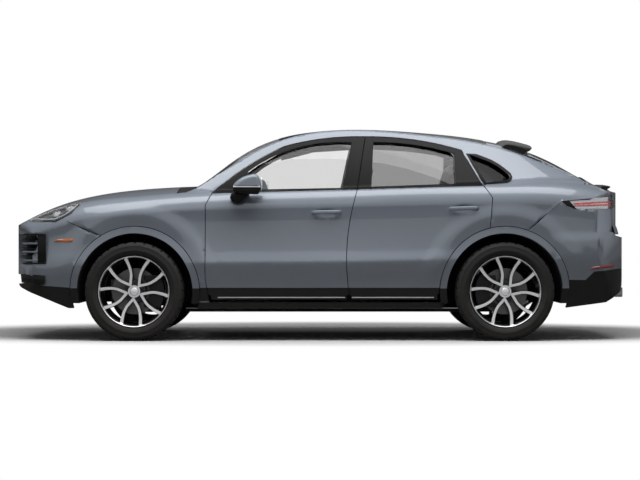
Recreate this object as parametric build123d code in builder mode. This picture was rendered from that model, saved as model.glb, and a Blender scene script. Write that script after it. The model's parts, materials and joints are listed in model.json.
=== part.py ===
"""A five-door sport utility vehicle with a coupe roof: body panels, doors, wheels and cabin.

Millimetres. +Z is up, the nose points to -X, the left side is at -Y. The origin is on the ground, below the
middle of the overall length.
"""

import os

from build123d import *

os.makedirs("parts", exist_ok=True)

# Overall sizes
WHEELBASE = 2895.0
FRONT_AXLE_X = -1450.0
REAR_AXLE_X = FRONT_AXLE_X + WHEELBASE
AXLES = (FRONT_AXLE_X, REAR_AXLE_X)
HALF_TRACK = 843.0
NOSE_X = -2465.0
TAIL_X = 2465.0

# Reach of the cuts that shape the body
SIDE_REACH = 1300.0
PAST_MIDDLE = -10.0
TALL = 2100.0

# Walls and gaps
DOOR_THICK = 105.0
PANEL_THICK = 42.0
PILLAR_THICK = 48.0
BUMPER_THICK = 110.0
DOOR_HEM_THICK = 15.0
DOOR_HEM_LAP = 16.0
GLASS_THICK = 5.0
GLASS_INSET = 14.0
SCREEN_THICK = 6.0
SHUT_GAP = 6.0
SEAT_GAP = 0.3

# Tyre and wheel, with distances outboard of the wheel's middle plane
TYRE_RADIUS = 386.0
TYRE_HALF_WIDTH = 138.0
TREAD_HALF_WIDTH = 108.0
SIDEWALL_RADIUS = 326.0
BEAD_RADIUS = 266.0
RIM_RADIUS = 284.0
RIM_HALF_WIDTH = 124.0
RIM_WALL = 9.0
FLANGE_WIDTH = 12.0
SPOKE_PAIRS = 5
SPOKE_DEPTH = 34.0
SPOKE_FACE = 104.0
SPOKE_END = BEAD_RADIUS - 15.0
FIRST_PAIR_ANGLE = 84.5
HUB_RADIUS = 84.0
HUB_POCKET = 26.0
LUG_CIRCLE_RADIUS = 65.0
LUG_HOLE_RADIUS = 13.0
LUGS = 5
DISC_RADIUS = 182.0
DISC_THICK = 30.0
DISC_FACE = 14.0
SPINDLE_RADIUS = 30.0
SPINDLE_CLEARANCE = 0.3
SPINDLE_END = 46.0

# Wheel arches
ARCH_RADIUS = 455.0
ARCH_TRIM_RADIUS = 507.0
ARCH_TRIM_DEPTH = 70.0
ARCH_TRIM_PROUD = 8.0
ARCH_TRIM_LOW_Z = 292.0
LINER_THICK = 6.0
WHEEL_HOUSE_INNER = 480.0
WHEEL_HOUSE_OUTER = 872.0

# Side-view levels
SILL_BOTTOM = 252.0
SILL_TRIM = 6.0
DOOR_BOTTOM = 306.0
FLOOR_BOTTOM = 262.0
FLOOR_THICK = 30.0
FLOOR_TOP = FLOOR_BOTTOM + FLOOR_THICK
LOAD_FLOOR_Z = 570.0

# Lower body sections, from the nose to the tail: half-widths y and heights z of the lower edge, the body
# crease, the shoulder and the upper edge, with the crown on the centre line.
# x, y_low, y_crease, z_crease, y_shoulder, z_shoulder, y_edge, z_edge, z_crown
BODY_SECTIONS = (
    (NOSE_X, 720, 800, 560, 770, 760, 640, 868, 905),
    (-2200.0, 800, 872, 575, 838, 850, 690, 995, 1042),
    (-1850.0, 838, 922, 590, 890, 950, 735, 1092, 1150),
    (-1450.0, 862, 950, 600, 912, 1000, 775, 1133, 1205),
    (-900.0, 882, 958, 610, 928, 1022, 835, 1160, 1232),
    (100.0, 886, 962, 617, 938, 1035, 878, 1176, 1240),
    (900.0, 886, 965, 630, 948, 1050, 890, 1200, 1255),
    (1445.0, 876, 972, 640, 960, 1062, 888, 1215, 1265),
    (2000.0, 830, 935, 640, 925, 1045, 840, 1205, 1250),
    (TAIL_X, 760, 870, 620, 850, 980, 740, 1120, 1150),
)

# Cabin sections, from the windshield's foot to the tail: half-width at the foot, half-width and height of
# the roof rail, and height on the centre line.
# x, y_foot, y_rail, z_rail, z_crown
CABIN_SECTIONS = (
    (-1060.0, 815, 775, 1150, 1205),
    (-720.0, 850, 722, 1362, 1428),
    (-400.0, 866, 660, 1545, 1600),
    (-60.0, 874, 618, 1640, 1672),
    (380.0, 880, 604, 1662, 1690),
    (900.0, 888, 598, 1616, 1662),
    (1440.0, 884, 590, 1524, 1585),
    (1900.0, 836, 592, 1352, 1425),
    (2330.0, 760, 610, 1160, 1215),
)
CABIN_FOOT_Z = 1080.0
INNER_FOOT_Z = 1000.0
INNER_LOW_Z = 100.0
SIDE_BULGE = 16.0

# Plan view of the nose and the tail: where the corner's round starts, its middle, and where it meets the
# curved end
NOSE_CORNER = ((-2150.0, 900.0), (-2300.0, 790.0), (-2390.0, 640.0))
TAIL_CORNER = ((2150.0, 905.0), (2305.0, 800.0), (2390.0, 660.0))
TAILGATE_SETBACK = 50.0

# Side outline of chin, nose, deck and tail
SIDE_OUTLINE = (
    (-1975, SILL_BOTTOM),
    (-2375, 415),
    (-2440, 470),
    (-2475, 530),
    (-2475, TALL),
    (2322, TALL),
    (2322, 1236),
    (2412, 1112),
    (2475, 1030),
    (2475, 610),
    (2438, 520),
    (2402, 392),
    (2250, 298),
    (1900, SILL_BOTTOM),
)

# Seams between the body sides and the roof-level panels: half-width at each x
HOOD_FRONT_X = -2335.0
HOOD_REAR_X = -1130.0
HOOD_LOW_Z = 880.0
HOOD_THICK = 38.0
HOOD_REAR_HALF_WIDTH = 784.0
SCREEN_FRONT_X = -1010.0
SCREEN_REAR_X = -330.0
ROOF_REAR_X = 1330.0
REAR_GLASS_FRONT_X = 1470.0
REAR_GLASS_REAR_X = 2130.0
TAILGATE_HALF_WIDTH = 735.0
TAILGATE_LOW_Z = 850.0
TAILGATE_FRAME = 58.0
HOOD_SEAM = (
    (HOOD_FRONT_X, 655.0),
    (-1850.0, 732.0),
    (-1450.0, 772.0),
    (HOOD_REAR_X, HOOD_REAR_HALF_WIDTH),
)
COWL_SEAM = (
    (HOOD_REAR_X + SHUT_GAP, HOOD_REAR_HALF_WIDTH),
    (-1060.0, 770.0),
    (SCREEN_FRONT_X, 760.0),
)
SCREEN_SEAM = ((SCREEN_FRONT_X, 760.0), (-720.0, 714.0), (SCREEN_REAR_X, 640.0))
ROOF_SEAM = (
    (SCREEN_REAR_X, 640.0),
    (-60.0, 609.0),
    (380.0, 595.0),
    (900.0, 590.0),
    (ROOF_REAR_X - SHUT_GAP, 583.0),
)
REAR_GLASS_SEAM = ((REAR_GLASS_FRONT_X, 570.0), (1900.0, 574.0), (REAR_GLASS_REAR_X, 582.0))
TAILGATE_SEAM = (
    (ROOF_REAR_X, 583.0),
    (1900.0, 584.0),
    (REAR_GLASS_REAR_X, 592.0),
    (2225.0, 660.0),
    (2330.0, TAILGATE_HALF_WIDTH),
    (2600.0, TAILGATE_HALF_WIDTH),
)

# Roof spoiler and deck lip in the side view, with their half-widths
ROOF_SPOILER = ((1463, 1470), (1476, 1602), (1530, 1612), (1700, 1572), (1722, 1556), (1690, 1380))
DECK_LIP = ((2240, 1200), (2262, 1246), (2342, 1232), (2326, 1190))
ROOF_SPOILER_HALF_WIDTH = 545.0
DECK_LIP_HALF_WIDTH = 600.0

# Door seams in the side view, with the line between front and rear door from the sill to the roof
FRONT_DOOR_X = -893.0
SEAM_FOOT = (230.0, 306.0)
SEAM_LOW = (208.0, 560.0)
SEAM_MID = (222.0, 860.0)
SEAM_BELT = (290.0, 1172.0)
SEAM_HEAD = (360.0, 1608.0)
PILLAR_HALF_WIDTH = 62.0
PILLAR_DEPTH = 52.0
PILLAR_LAP = 8.0
PILLAR_FOOT_Z = FLOOR_TOP + SEAT_GAP
PILLAR_HEAD_Z = 1640.0

# Hinge pins in the shut gaps
HINGE_PIN_RADIUS = 2.4
HINGE_LEAF = 3.4
HINGE_LEAF_DEPTH = 60.0
DOOR_PIN_Z = (570.0, 660.0)
FRONT_DOOR_PIN = (FRONT_DOOR_X - SHUT_GAP / 2, 955.0)
SEAM_BOW = 0.9
REAR_DOOR_PIN = (SEAM_LOW[0] - SEAM_BOW, 958.0)
HOOD_PIN = (HOOD_REAR_X + SHUT_GAP / 2, 1221.5)
TAILGATE_PIN = (ROOF_REAR_X - SHUT_GAP / 2, 1603.0)
ROOF_PIN_HALF_LENGTH = 120.0

# Door handles: middle x and z
FRONT_HANDLE = (51.0, 1004.0)
REAR_HANDLE = (1120.0, 1034.0)
HANDLE_LENGTH = 236.0
HANDLE_HEIGHT = 34.0
HANDLE_GRIP = 20.0
HANDLE_STANDOFF = 18.0
HANDLE_ROOT = 30.0
HANDLE_SKIN_Y = 942.0

# Door mirrors
MIRROR_OUTLINE = (
    (-676, 1206),
    (-640, 1286),
    (-560, 1304),
    (-468, 1290),
    (-458, 1180),
    (-490, 1146),
    (-600, 1150),
)
MIRROR_INNER = 940.0
MIRROR_OUTER = 1088.0
MIRROR_ROUND = 40.0
MIRROR_FOOT = ((-694, 1066), (-600, 1066), (-520, 1170), (-620, 1170))
MIRROR_FOOT_INNER = 870.0
MIRROR_FOOT_OUTER = 985.0
MIRROR_CORNER = 24.0

# Grille openings in the front bumper: inner and outer half-width, low and high z, slats
INTAKES = (
    (0.0, 395.0, 600.0, 836.0, 3),
    (440.0, 830.0, 600.0, 836.0, 3),
    (0.0, 760.0, 440.0, 516.0, 0),
)
INTAKE_REAR_X = -2185.0
INTAKE_DEPTH = 62.0
INTAKE_BACK = 12.0
SLAT_THICK = 14.0
SLAT_SETBACK = 14.0
LIGHT_BAR_LOW_Z = 1046.0
LIGHT_BAR_HIGH_Z = 1104.0
LIGHT_BAR_DEPTH = 22.0

# Floor pan
FIREWALL_X = -938.0
REAR_HEEL_X = 985.0
HEEL_HALF_WIDTH = 770.0
REAR_HOUSE_END_X = 1905.0
RAIL_INNER = 412.0
RAIL_Z = (470.0, 570.0)
LINER_WINDOW_Z = 500.0

# Steering and suspension, heights from the axle
KINGPIN_Y = 790.0
KNUCKLE_HIGH = 138.0
KNUCKLE_LOW = 108.0
KNUCKLE_HALF_LENGTH = 42.0
KNUCKLE_INNER = 756.0
KNUCKLE_OUTER = 812.0
PIVOT_RADIUS = 14.0
CALIPER_INNER_RADIUS = 116.0
CALIPER_OUTER_RADIUS = 230.0
CALIPER_GAP = 5.0
CALIPER_WALL = 24.0
CALIPER_HALF_LENGTH = 125.0
ARM_THICK = 34.0
ARM_END_Y = 812.0
LOWER_ARM_TOP = 266.0
STRUT_RADIUS = 46.0
STRUT_Y = 590.0
CROSSMEMBER_HALF_WIDTH = 385.0
FRONT_CROSSMEMBER_LOW_Z = 206.0
REAR_CROSSMEMBER_LOW_Z = 263.0
REAR_CROSSMEMBER_TOP_Z = REAR_CROSSMEMBER_LOW_Z + 66.0
PIVOT_GAP = 0.5
STRUT_HEAD_DROP = 3.2

# Exhaust
TAILPIPE_Y = 560.0
TAILPIPE_Z = 372.0
TAILPIPE_SIZE = (150.0, 76.0)
TAILPIPE_WALL = 5.0
TAILPIPE_BORE = 120.0
TAILPIPE_END_X = 2408.0
SILENCER_X = (1960.0, 2235.0)
SILENCER_Z = (322.0, 470.0)
SILENCER_HALF_WIDTH = 660.0
PIPE_RADIUS = 32.0
PIPE_Z = 226.0
PIPE_RISE = 330.0
PIPE_BEND = 90.0
HANGER_Y = 380.0
HANGER_RADIUS = 12.0

# Tow-eye sockets
TOW_SOCKET_RADIUS = 10.0
TOW_SOCKET_DEPTH = 60.0
TOW_SOCKET_FLOOR_X = 2373.0
TOW_SOCKET_Y = 418.0
TOW_SOCKET_Z = 560.0

# Engine block
ENGINE_SIZE = (640.0, 660.0, 620.0)
ENGINE_LOW_Z = 296.0
ENGINE_SHIFT = 20.0

# Cabin
SEAT_Y = 375.0
FRONT_SEAT_WIDTH = 530.0
REAR_SEAT_WIDTH = 1260.0
STEERING_WHEEL_RADIUS = 186.0
STEERING_RIM_RADIUS = 16.0
STEERING_WHEEL_AT = (-470.0, -375.0, 985.0)
STEERING_WHEEL_FACES = (0.9, 0.0, 0.42)
STEERING_COLUMN = 260.0
DASH_FRONT_X = FIREWALL_X + FLOOR_THICK + SEAT_GAP
DASH_OUTLINE = (
    (DASH_FRONT_X, 700),
    (-640, 700),
    (-600, 960),
    (-640, 1060),
    (-800, 1120),
    (DASH_FRONT_X, 1120),
)
DASH_HALF_WIDTH = 745.0
CUSHION = ((-280, 545), (230, 520), (250, 640), (150, 672), (-290, 690), (-310, 610))
BACKREST = ((110, 620), (240, 600), (440, 1190), (400, 1230), (330, 1215), (200, 830))
HEADREST = ((352, 1200), (425, 1180), (490, 1390), (450, 1412), (400, 1390))
HEADREST_OFFSETS = {FRONT_SEAT_WIDTH: (0.0,), REAR_SEAT_WIDTH: (-400.0, 0.0, 400.0)}
REAR_SEAT_SHIFT = 670.0


def export(piece, name):
    """Labels a finished piece and writes it as one node."""
    piece.label = name
    export_step(piece, f"parts/{name}.step")


def export_pair(piece, name):
    """Writes a left piece and its mirror image on the right as two nodes."""
    export(piece, f"{name}_left")
    export(mirror(piece, about=Plane.XZ), f"{name}_right")


def both_sides(piece):
    """A left piece together with its mirror image."""
    with BuildPart() as pair:
        add(piece)
        mirror(piece, about=Plane.XZ)
    return pair.part


def carve(base, keep=None, removes=()):
    """A piece cut from a larger shape."""
    with BuildPart() as piece:
        add(base)
        if keep is not None:
            add(keep, mode=Mode.INTERSECT)
        for tool in removes:
            add(tool, mode=Mode.SUBTRACT)
    return piece.part


# Body shape: two lofts and the prisms that cut them


def body_section(row, side_inset, top_inset, low_z):
    """One cross-section of the lower body."""
    x, y_low, y_crease, z_crease, y_shoulder, z_shoulder, y_edge, z_edge, z_crown = row
    low = y_low - side_inset
    crease = y_crease - side_inset
    shoulder = y_shoulder - side_inset
    edge = y_edge - side_inset
    z_edge = z_edge - top_inset
    waist_y = min(crease, shoulder) - 2.0
    waist_z = 0.45 * z_crease + 0.55 * z_shoulder
    roll_y = 0.5 * (shoulder + edge) + 0.16 * (shoulder - edge)
    roll_z = 0.5 * (z_shoulder + z_edge) + 0.16 * (z_edge - z_shoulder)
    with BuildSketch(Plane.YZ.offset(x)) as section:
        with BuildLine():
            Line((-low, low_z), (low, low_z))
            Line((low, low_z), (crease, z_crease))
            ThreePointArc((crease, z_crease), (waist_y, waist_z), (shoulder, z_shoulder))
            ThreePointArc((shoulder, z_shoulder), (roll_y, roll_z), (edge, z_edge))
            ThreePointArc((edge, z_edge), (0, z_crown - top_inset), (-edge, z_edge))
            ThreePointArc((-edge, z_edge), (-roll_y, roll_z), (-shoulder, z_shoulder))
            ThreePointArc((-shoulder, z_shoulder), (-waist_y, waist_z), (-crease, z_crease))
            Line((-crease, z_crease), (-low, low_z))
        make_face()
    return section.sketch.face()


def cabin_section(row, inset, foot_z):
    """One cross-section of the cabin above the waist."""
    x, y_foot, y_rail, z_rail, z_crown = row
    foot = y_foot - inset
    rail = y_rail - inset
    z_rail = z_rail - inset
    mid_y = 0.5 * (foot + rail) + SIDE_BULGE
    mid_z = 0.5 * (foot_z + z_rail)
    with BuildSketch(Plane.YZ.offset(x)) as section:
        with BuildLine():
            Line((-foot, foot_z), (foot, foot_z))
            ThreePointArc((foot, foot_z), (mid_y, mid_z), (rail, z_rail))
            ThreePointArc((rail, z_rail), (0, z_crown - inset), (-rail, z_rail))
            ThreePointArc((-rail, z_rail), (-mid_y, mid_z), (-foot, foot_z))
        make_face()
    return section.sketch.face()


def cabin_loft(inset, foot_z=CABIN_FOOT_Z):
    """The cabin's solid shape, moved inwards by the inset."""
    with BuildPart() as cabin:
        loft([cabin_section(row, inset, foot_z) for row in CABIN_SECTIONS])
    return cabin.part


def body_loft(side_inset, top_inset=0.0, low_z=SILL_BOTTOM - SILL_TRIM):
    """The lower body's solid shape, moved inwards by the insets."""
    with BuildPart() as body:
        loft([body_section(row, side_inset, top_inset, low_z) for row in BODY_SECTIONS])
    return body.part


def inner_body(side_inset, cabin_inset):
    """Lower body and cabin together, moved inwards and open at the bottom."""
    with BuildPart() as inner:
        add(body_loft(side_inset, cabin_inset - PILLAR_THICK + PANEL_THICK, INNER_LOW_Z))
        add(cabin_loft(cabin_inset, INNER_FOOT_Z))
    return inner.part


def plan_prism(inset, setback=0.0):
    """The plan outline with its rounded nose and tail as a tall prism, moved inwards, its tail set back."""
    (nx0, ny0), (nx1, ny1), (nx2, ny2) = NOSE_CORNER
    (tx0, ty0), (tx1, ty1), (tx2, ty2) = [(x - setback, y) for x, y in TAIL_CORNER]
    with BuildPart() as prism:
        with BuildSketch():
            with BuildLine():
                ThreePointArc((nx2, ny2), (NOSE_X, 0), (nx2, -ny2))
                ThreePointArc((nx2, -ny2), (nx1, -ny1), (nx0, -ny0))
                Polyline((nx0, -ny0), (-1800, -SIDE_REACH), (1700, -SIDE_REACH), (tx0, -ty0))
                ThreePointArc((tx0, -ty0), (tx1, -ty1), (tx2, -ty2))
                ThreePointArc((tx2, -ty2), (TAIL_X - setback, 0), (tx2, ty2))
                ThreePointArc((tx2, ty2), (tx1, ty1), (tx0, ty0))
                Polyline((tx0, ty0), (1700, SIDE_REACH), (-1800, SIDE_REACH), (nx0, ny0))
                ThreePointArc((nx0, ny0), (nx1, ny1), (nx2, ny2))
            make_face()
            if inset:
                offset(amount=-inset, mode=Mode.REPLACE)
        extrude(amount=TALL)
    return prism.part


def across_prism(points, half_width, middle_y=0.0, grow=0.0):
    """A side-view polygon, grown by a gap, as a prism across the car."""
    with BuildPart() as prism:
        with BuildSketch(Plane.XZ.offset(-middle_y)):
            with BuildLine():
                Polyline(*points, close=True)
            make_face()
            if grow:
                offset(amount=grow, kind=Kind.INTERSECTION, mode=Mode.REPLACE)
        extrude(amount=half_width, both=True)
    return prism.part


def left_plane():
    """The side-view plane outboard of the left side: x to the rear, y up."""
    return Plane(origin=(0, -SIDE_REACH, 0), x_dir=(1, 0, 0), z_dir=(0, -1, 0))


def side_cut(outline, inner=PAST_MIDDLE):
    """A closed outline in the side view as a prism through the left body side."""
    with BuildPart() as cut:
        extrude(outline, amount=SIDE_REACH - inner, dir=(0, 1, 0))
    return cut.part


def polygon_cut(points, grow=0.0, inner=PAST_MIDDLE):
    """A side-view polygon, grown by a gap, as a prism through the left body side."""
    with BuildSketch(left_plane()) as outline:
        with BuildLine():
            Polyline(*points, close=True)
        make_face()
        if grow:
            offset(amount=grow, kind=Kind.INTERSECTION, mode=Mode.REPLACE)
    return side_cut(outline.sketch, inner)


def seam_prism(seam, grow_side=0.0, grow_ends=0.0, low_z=400.0):
    """The plan area between the two seam lines, as a prism up through the roof."""
    (x0, y0), (x1, y1) = seam[0], seam[-1]
    line = [(x0 - grow_ends, y0 + grow_side)]
    line += [(x, y + grow_side) for x, y in seam[1:-1]]
    line += [(x1 + grow_ends, y1 + grow_side)]
    with BuildPart() as prism:
        with BuildSketch(Plane.XY.offset(low_z)):
            with BuildLine():
                Polyline(*line, *[(x, -y) for x, y in reversed(line)], close=True)
            make_face()
        extrude(amount=TALL - low_z)
    return prism.part


def box(x_range, y_range, z_range):
    """A block between two values on each axis."""
    (x0, x1), (y0, y1), (z0, z1) = x_range, y_range, z_range
    with BuildPart() as block:
        with Locations(((x0 + x1) / 2, (y0 + y1) / 2, (z0 + z1) / 2)):
            Box(x1 - x0, y1 - y0, z1 - z0)
    return block.part


def axle_cylinder(axle_x, radius, inner, outer):
    """A cylinder about one axle on the left side, between two distances from the middle of the car."""
    with BuildPart() as cylinder:
        with BuildSketch(Plane.XZ.offset(inner)):
            with Locations((axle_x, TYRE_RADIUS)):
                Circle(radius)
        extrude(amount=outer - inner)
    return cylinder.part


# Side-view outlines of doors and windows


def beside(point, shift):
    """A point of the seam between the doors, moved to the edge of one door."""
    return (point[0] + shift, point[1])


def front_door_sketch(grow=0.0):
    """Front door with its window frame."""
    foot, low, mid, belt, head = [
        beside(point, -SHUT_GAP / 2) for point in (SEAM_FOOT, SEAM_LOW, SEAM_MID, SEAM_BELT, SEAM_HEAD)
    ]
    with BuildSketch(left_plane()) as outline:
        with BuildLine():
            Polyline(foot, (-862, DOOR_BOTTOM), (FRONT_DOOR_X, 480), (FRONT_DOOR_X, 1060), (-842, 1158))
            ThreePointArc((-842, 1158), (-568, 1372), (-280, 1530))
            ThreePointArc((-280, 1530), (30, 1592), head)
            Line(head, belt)
            ThreePointArc(belt, mid, low)
            Line(low, foot)
        make_face()
        if grow:
            offset(amount=grow, kind=Kind.INTERSECTION, mode=Mode.REPLACE)
    return outline.sketch


def rear_door_sketch(grow=0.0):
    """Rear door with its window frame; its lower rear edge follows the wheel arch."""
    foot, low, mid, belt, head = [
        beside(point, SHUT_GAP / 2) for point in (SEAM_FOOT, SEAM_LOW, SEAM_MID, SEAM_BELT, SEAM_HEAD)
    ]
    with BuildSketch(left_plane()) as outline:
        with BuildLine():
            Polyline((1316, 800), (1334, 1010), (1342, 1118), (1262, 1238), (1122, 1500))
            ThreePointArc((1122, 1500), (760, 1582), head)
            Line(head, belt)
            ThreePointArc(belt, mid, low)
            Polyline(low, foot, (1010, DOOR_BOTTOM), (1316, 800))
        make_face()
        with Locations((REAR_AXLE_X, TYRE_RADIUS)):
            Circle(ARCH_TRIM_RADIUS + SHUT_GAP, mode=Mode.SUBTRACT)
        if grow:
            offset(amount=grow, kind=Kind.INTERSECTION, mode=Mode.REPLACE)
    return outline.sketch


def front_window_sketch(grow=0.0):
    """Opening for the front door's glass."""
    with BuildSketch(left_plane()) as outline:
        with BuildLine():
            Polyline((252, 1564), (172, 1196), (-590, 1182), (-566, 1330))
            ThreePointArc((-566, 1330), (-200, 1516), (252, 1564))
        make_face()
        if grow:
            offset(amount=grow, kind=Kind.INTERSECTION, mode=Mode.REPLACE)
    return outline.sketch


def rear_window_sketch(grow=0.0):
    """Opening for the rear door's glass."""
    with BuildSketch(left_plane()) as outline:
        with BuildLine():
            Polyline((1064, 1474), (1066, 1226), (404, 1206), (424, 1566))
            ThreePointArc((424, 1566), (760, 1544), (1064, 1474))
        make_face()
        if grow:
            offset(amount=grow, kind=Kind.INTERSECTION, mode=Mode.REPLACE)
    return outline.sketch


def quarter_window_sketch(grow=0.0):
    """Opening for the fixed window behind the rear door."""
    with BuildSketch(left_plane()) as outline:
        with BuildLine():
            Line((1304, 1240), (1178, 1470))
            ThreePointArc((1178, 1470), (1350, 1408), (1494, 1302))
            ThreePointArc((1494, 1302), (1497, 1272), (1470, 1256))
            Line((1470, 1256), (1304, 1240))
        make_face()
        if grow:
            offset(amount=grow, kind=Kind.INTERSECTION, mode=Mode.REPLACE)
    return outline.sketch


# Side-view areas of the fixed panels
HEADLAMP_AREA = (
    (-2290, 930),
    (-2070, 926),
    (-1952, 992),
    (-1872, 1086),
    (-1905, 1300),
    (-2380, 1300),
    (-2318, 962),
)
FENDER_AREA = (
    (-1700, 760),
    (-1732, 826),
    (-1987, 936),
    (-1997, 967),
    (-1952, 992),
    (-1872, 1086),
    (-1905, 1300),
    (-1905, 1400),
    (HOOD_REAR_X, 1400),
    (HOOD_REAR_X, 1196),
    (-1000, 1186),
    (-830, 1160),
    (-830, 309),
    (-1000, 309),
)
FRONT_BUMPER_AREA = (
    (-2600, 150),
    (-1640, 150),
    (-1700, 760),
    (-1732, 826),
    (-1987, 936),
    (-1997, 967),
    (-2070, 926),
    (-2290, 930),
    (-2318, 962),
    (-2380, 1300),
    (-2600, 1300),
)
TAIL_LAMP_AREA = ((1880, 1092), (2440, 1144), (2440, 1034), (1990, 1030), (1928, 1054))
REAR_BUMPER_AREA = (
    (1560, 150),
    (1590, 800),
    (1626, 866),
    (1880, 1092),
    (1928, 1054),
    (1990, 1030),
    (2440, 1034),
    (2600, 1034),
    (2600, 150),
)

# Main body shapes
tail_step = carve(
    box((1900, 2700), (-SIDE_REACH, SIDE_REACH), (TAILGATE_LOW_Z, TALL)),
    removes=[plan_prism(0, TAILGATE_SETBACK)],
)
with BuildPart() as outer_body:
    add(body_loft(0))
    add(cabin_loft(0))
    add(plan_prism(0), mode=Mode.INTERSECT)
    add(across_prism(SIDE_OUTLINE, SIDE_REACH), mode=Mode.INTERSECT)
    add(tail_step, mode=Mode.SUBTRACT)
cavity = carve(inner_body(DOOR_THICK, PILLAR_THICK), keep=plan_prism(BUMPER_THICK))
fit = carve(
    inner_body(DOOR_THICK + SEAT_GAP, PILLAR_THICK + SEAT_GAP),
    keep=plan_prism(BUMPER_THICK + SEAT_GAP),
)
arch_cuts = [both_sides(axle_cylinder(x, ARCH_TRIM_RADIUS, WHEEL_HOUSE_INNER, SIDE_REACH)) for x in AXLES]
shell = carve(outer_body.part, removes=[cavity, *arch_cuts])
left_shell = carve(shell, keep=box((-3000, 3000), (-SIDE_REACH, 0), (0, TALL)))

# Zones that the roof-level panels take from the body sides
hood_zone = seam_prism(HOOD_SEAM, SHUT_GAP, SHUT_GAP, HOOD_LOW_Z - SHUT_GAP)
cowl_zone = seam_prism(COWL_SEAM, low_z=1000)
screen_zone = seam_prism(SCREEN_SEAM, low_z=1000)
roof_zone = seam_prism(ROOF_SEAM, low_z=1300)
tailgate_zone = seam_prism(TAILGATE_SEAM, SHUT_GAP, SHUT_GAP, TAILGATE_LOW_Z - SHUT_GAP)


# Hinge pins, each on a leaf of the fixed panel beside the shut gap


def door_pin(pin, leaf_x, leaf_inner):
    """Upright pin at the front edge of a left door."""
    x, y = pin
    low, high = DOOR_PIN_Z
    with BuildPart() as hinge:
        with BuildSketch(Plane.XY.offset(low)):
            with Locations((x, -y)):
                Circle(HINGE_PIN_RADIUS)
        extrude(amount=high - low)
        add(box(leaf_x, (-y, -leaf_inner), (low, high)))
    return hinge.part


def roof_pin(pin, leaf_x):
    """Level pin across the middle of the car, at the edge of the hood or tailgate."""
    x, z = pin
    with BuildPart() as hinge:
        with BuildSketch(Plane.XZ):
            with Locations((x, z)):
                Circle(HINGE_PIN_RADIUS)
        extrude(amount=ROOF_PIN_HALF_LENGTH, both=True)
        add(box(leaf_x, (-ROOF_PIN_HALF_LENGTH, ROOF_PIN_HALF_LENGTH), (z - 2 * SHUT_GAP, z)))
    return hinge.part


# Hood, cowl, windshield and roof
hood = carve(
    shell,
    keep=seam_prism(HOOD_SEAM, low_z=HOOD_LOW_Z),
    removes=[body_loft(0, HOOD_THICK, INNER_LOW_Z)],
)
export(hood, "hood")
with BuildPart() as cowl:
    add(carve(shell, keep=seam_prism(COWL_SEAM, -SEAT_GAP, -SEAT_GAP, 1000)))
    add(roof_pin(HOOD_PIN, (HOOD_PIN[0], HOOD_PIN[0] + SHUT_GAP)))
export(cowl.part, "cowl")
screen_skin = carve(cabin_loft(0), removes=[cabin_loft(SCREEN_THICK)])
export(carve(screen_skin, keep=seam_prism(SCREEN_SEAM, -SEAT_GAP, -SEAT_GAP, 1000)), "windshield")
with BuildPart() as roof_panel:
    add(carve(shell, keep=seam_prism(ROOF_SEAM, -SEAT_GAP, -SEAT_GAP, 1300)))
    add(roof_pin(TAILGATE_PIN, (TAILGATE_PIN[0] - SHUT_GAP, TAILGATE_PIN[0])))
export(roof_panel.part, "roof_panel")

# Tailgate with its rear window and light bar
tailgate_whole = carve(shell, keep=seam_prism(TAILGATE_SEAM, low_z=TAILGATE_LOW_Z))
glass_recess = carve(
    cabin_loft(-20),
    keep=seam_prism(REAR_GLASS_SEAM, low_z=1000),
    removes=[cabin_loft(SCREEN_THICK + SEAT_GAP)],
)
glass_hole = seam_prism(REAR_GLASS_SEAM, -TAILGATE_FRAME, -TAILGATE_FRAME, 1150)
light_band = carve(
    box((2050, 2600), (-SIDE_REACH, SIDE_REACH), (LIGHT_BAR_LOW_Z, LIGHT_BAR_HIGH_Z)),
    removes=[plan_prism(LIGHT_BAR_DEPTH, TAILGATE_SETBACK)],
)
light_slot = carve(
    box((2050, 2600), (-SIDE_REACH, SIDE_REACH), (LIGHT_BAR_LOW_Z - SEAT_GAP, LIGHT_BAR_HIGH_Z + SEAT_GAP)),
    removes=[plan_prism(LIGHT_BAR_DEPTH + SEAT_GAP, TAILGATE_SETBACK)],
)
export(carve(tailgate_whole, removes=[glass_recess, glass_hole, light_slot]), "tailgate")
export(carve(screen_skin, keep=seam_prism(REAR_GLASS_SEAM, -SEAT_GAP, -SEAT_GAP, 1000)), "rear_window")
export(carve(tailgate_whole, keep=light_band), "light_bar")

# Roof spoiler and deck lip
with BuildPart() as spoilers:
    add(across_prism(ROOF_SPOILER, ROOF_SPOILER_HALF_WIDTH))
    add(across_prism(DECK_LIP, DECK_LIP_HALF_WIDTH))
    add(cabin_loft(-SEAT_GAP), mode=Mode.SUBTRACT)
    add(body_loft(-SEAT_GAP, -SEAT_GAP), mode=Mode.SUBTRACT)
export(spoilers.part, "spoilers")


# Front bumper with its intakes, and the grille behind them


def intake_block(row, margin, front, back, low=None, high=None):
    """The part of one grille opening, on both sides, between two depths behind the bumper's face."""
    inner, outer, row_low, row_high, slats = row
    low = row_low + margin if low is None else low
    high = row_high - margin if high is None else high
    inboard = -inner - margin if inner else 0.0
    window = box((-2700, INTAKE_REAR_X - margin), (-outer + margin, inboard), (low, high))
    return both_sides(carve(window, keep=plan_prism(front), removes=[plan_prism(back)]))


def tow_bore(end):
    """Socket for a screw-in towing eye, at the nose with end -1 and at the tail with end 1."""
    with BuildPart() as bore:
        with BuildSketch(Plane.YZ.offset(end * TOW_SOCKET_FLOOR_X)):
            with Locations((-end * TOW_SOCKET_Y, TOW_SOCKET_Z)):
                Circle(TOW_SOCKET_RADIUS)
        extrude(amount=end * 2 * TOW_SOCKET_DEPTH)
    return bore.part


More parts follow.
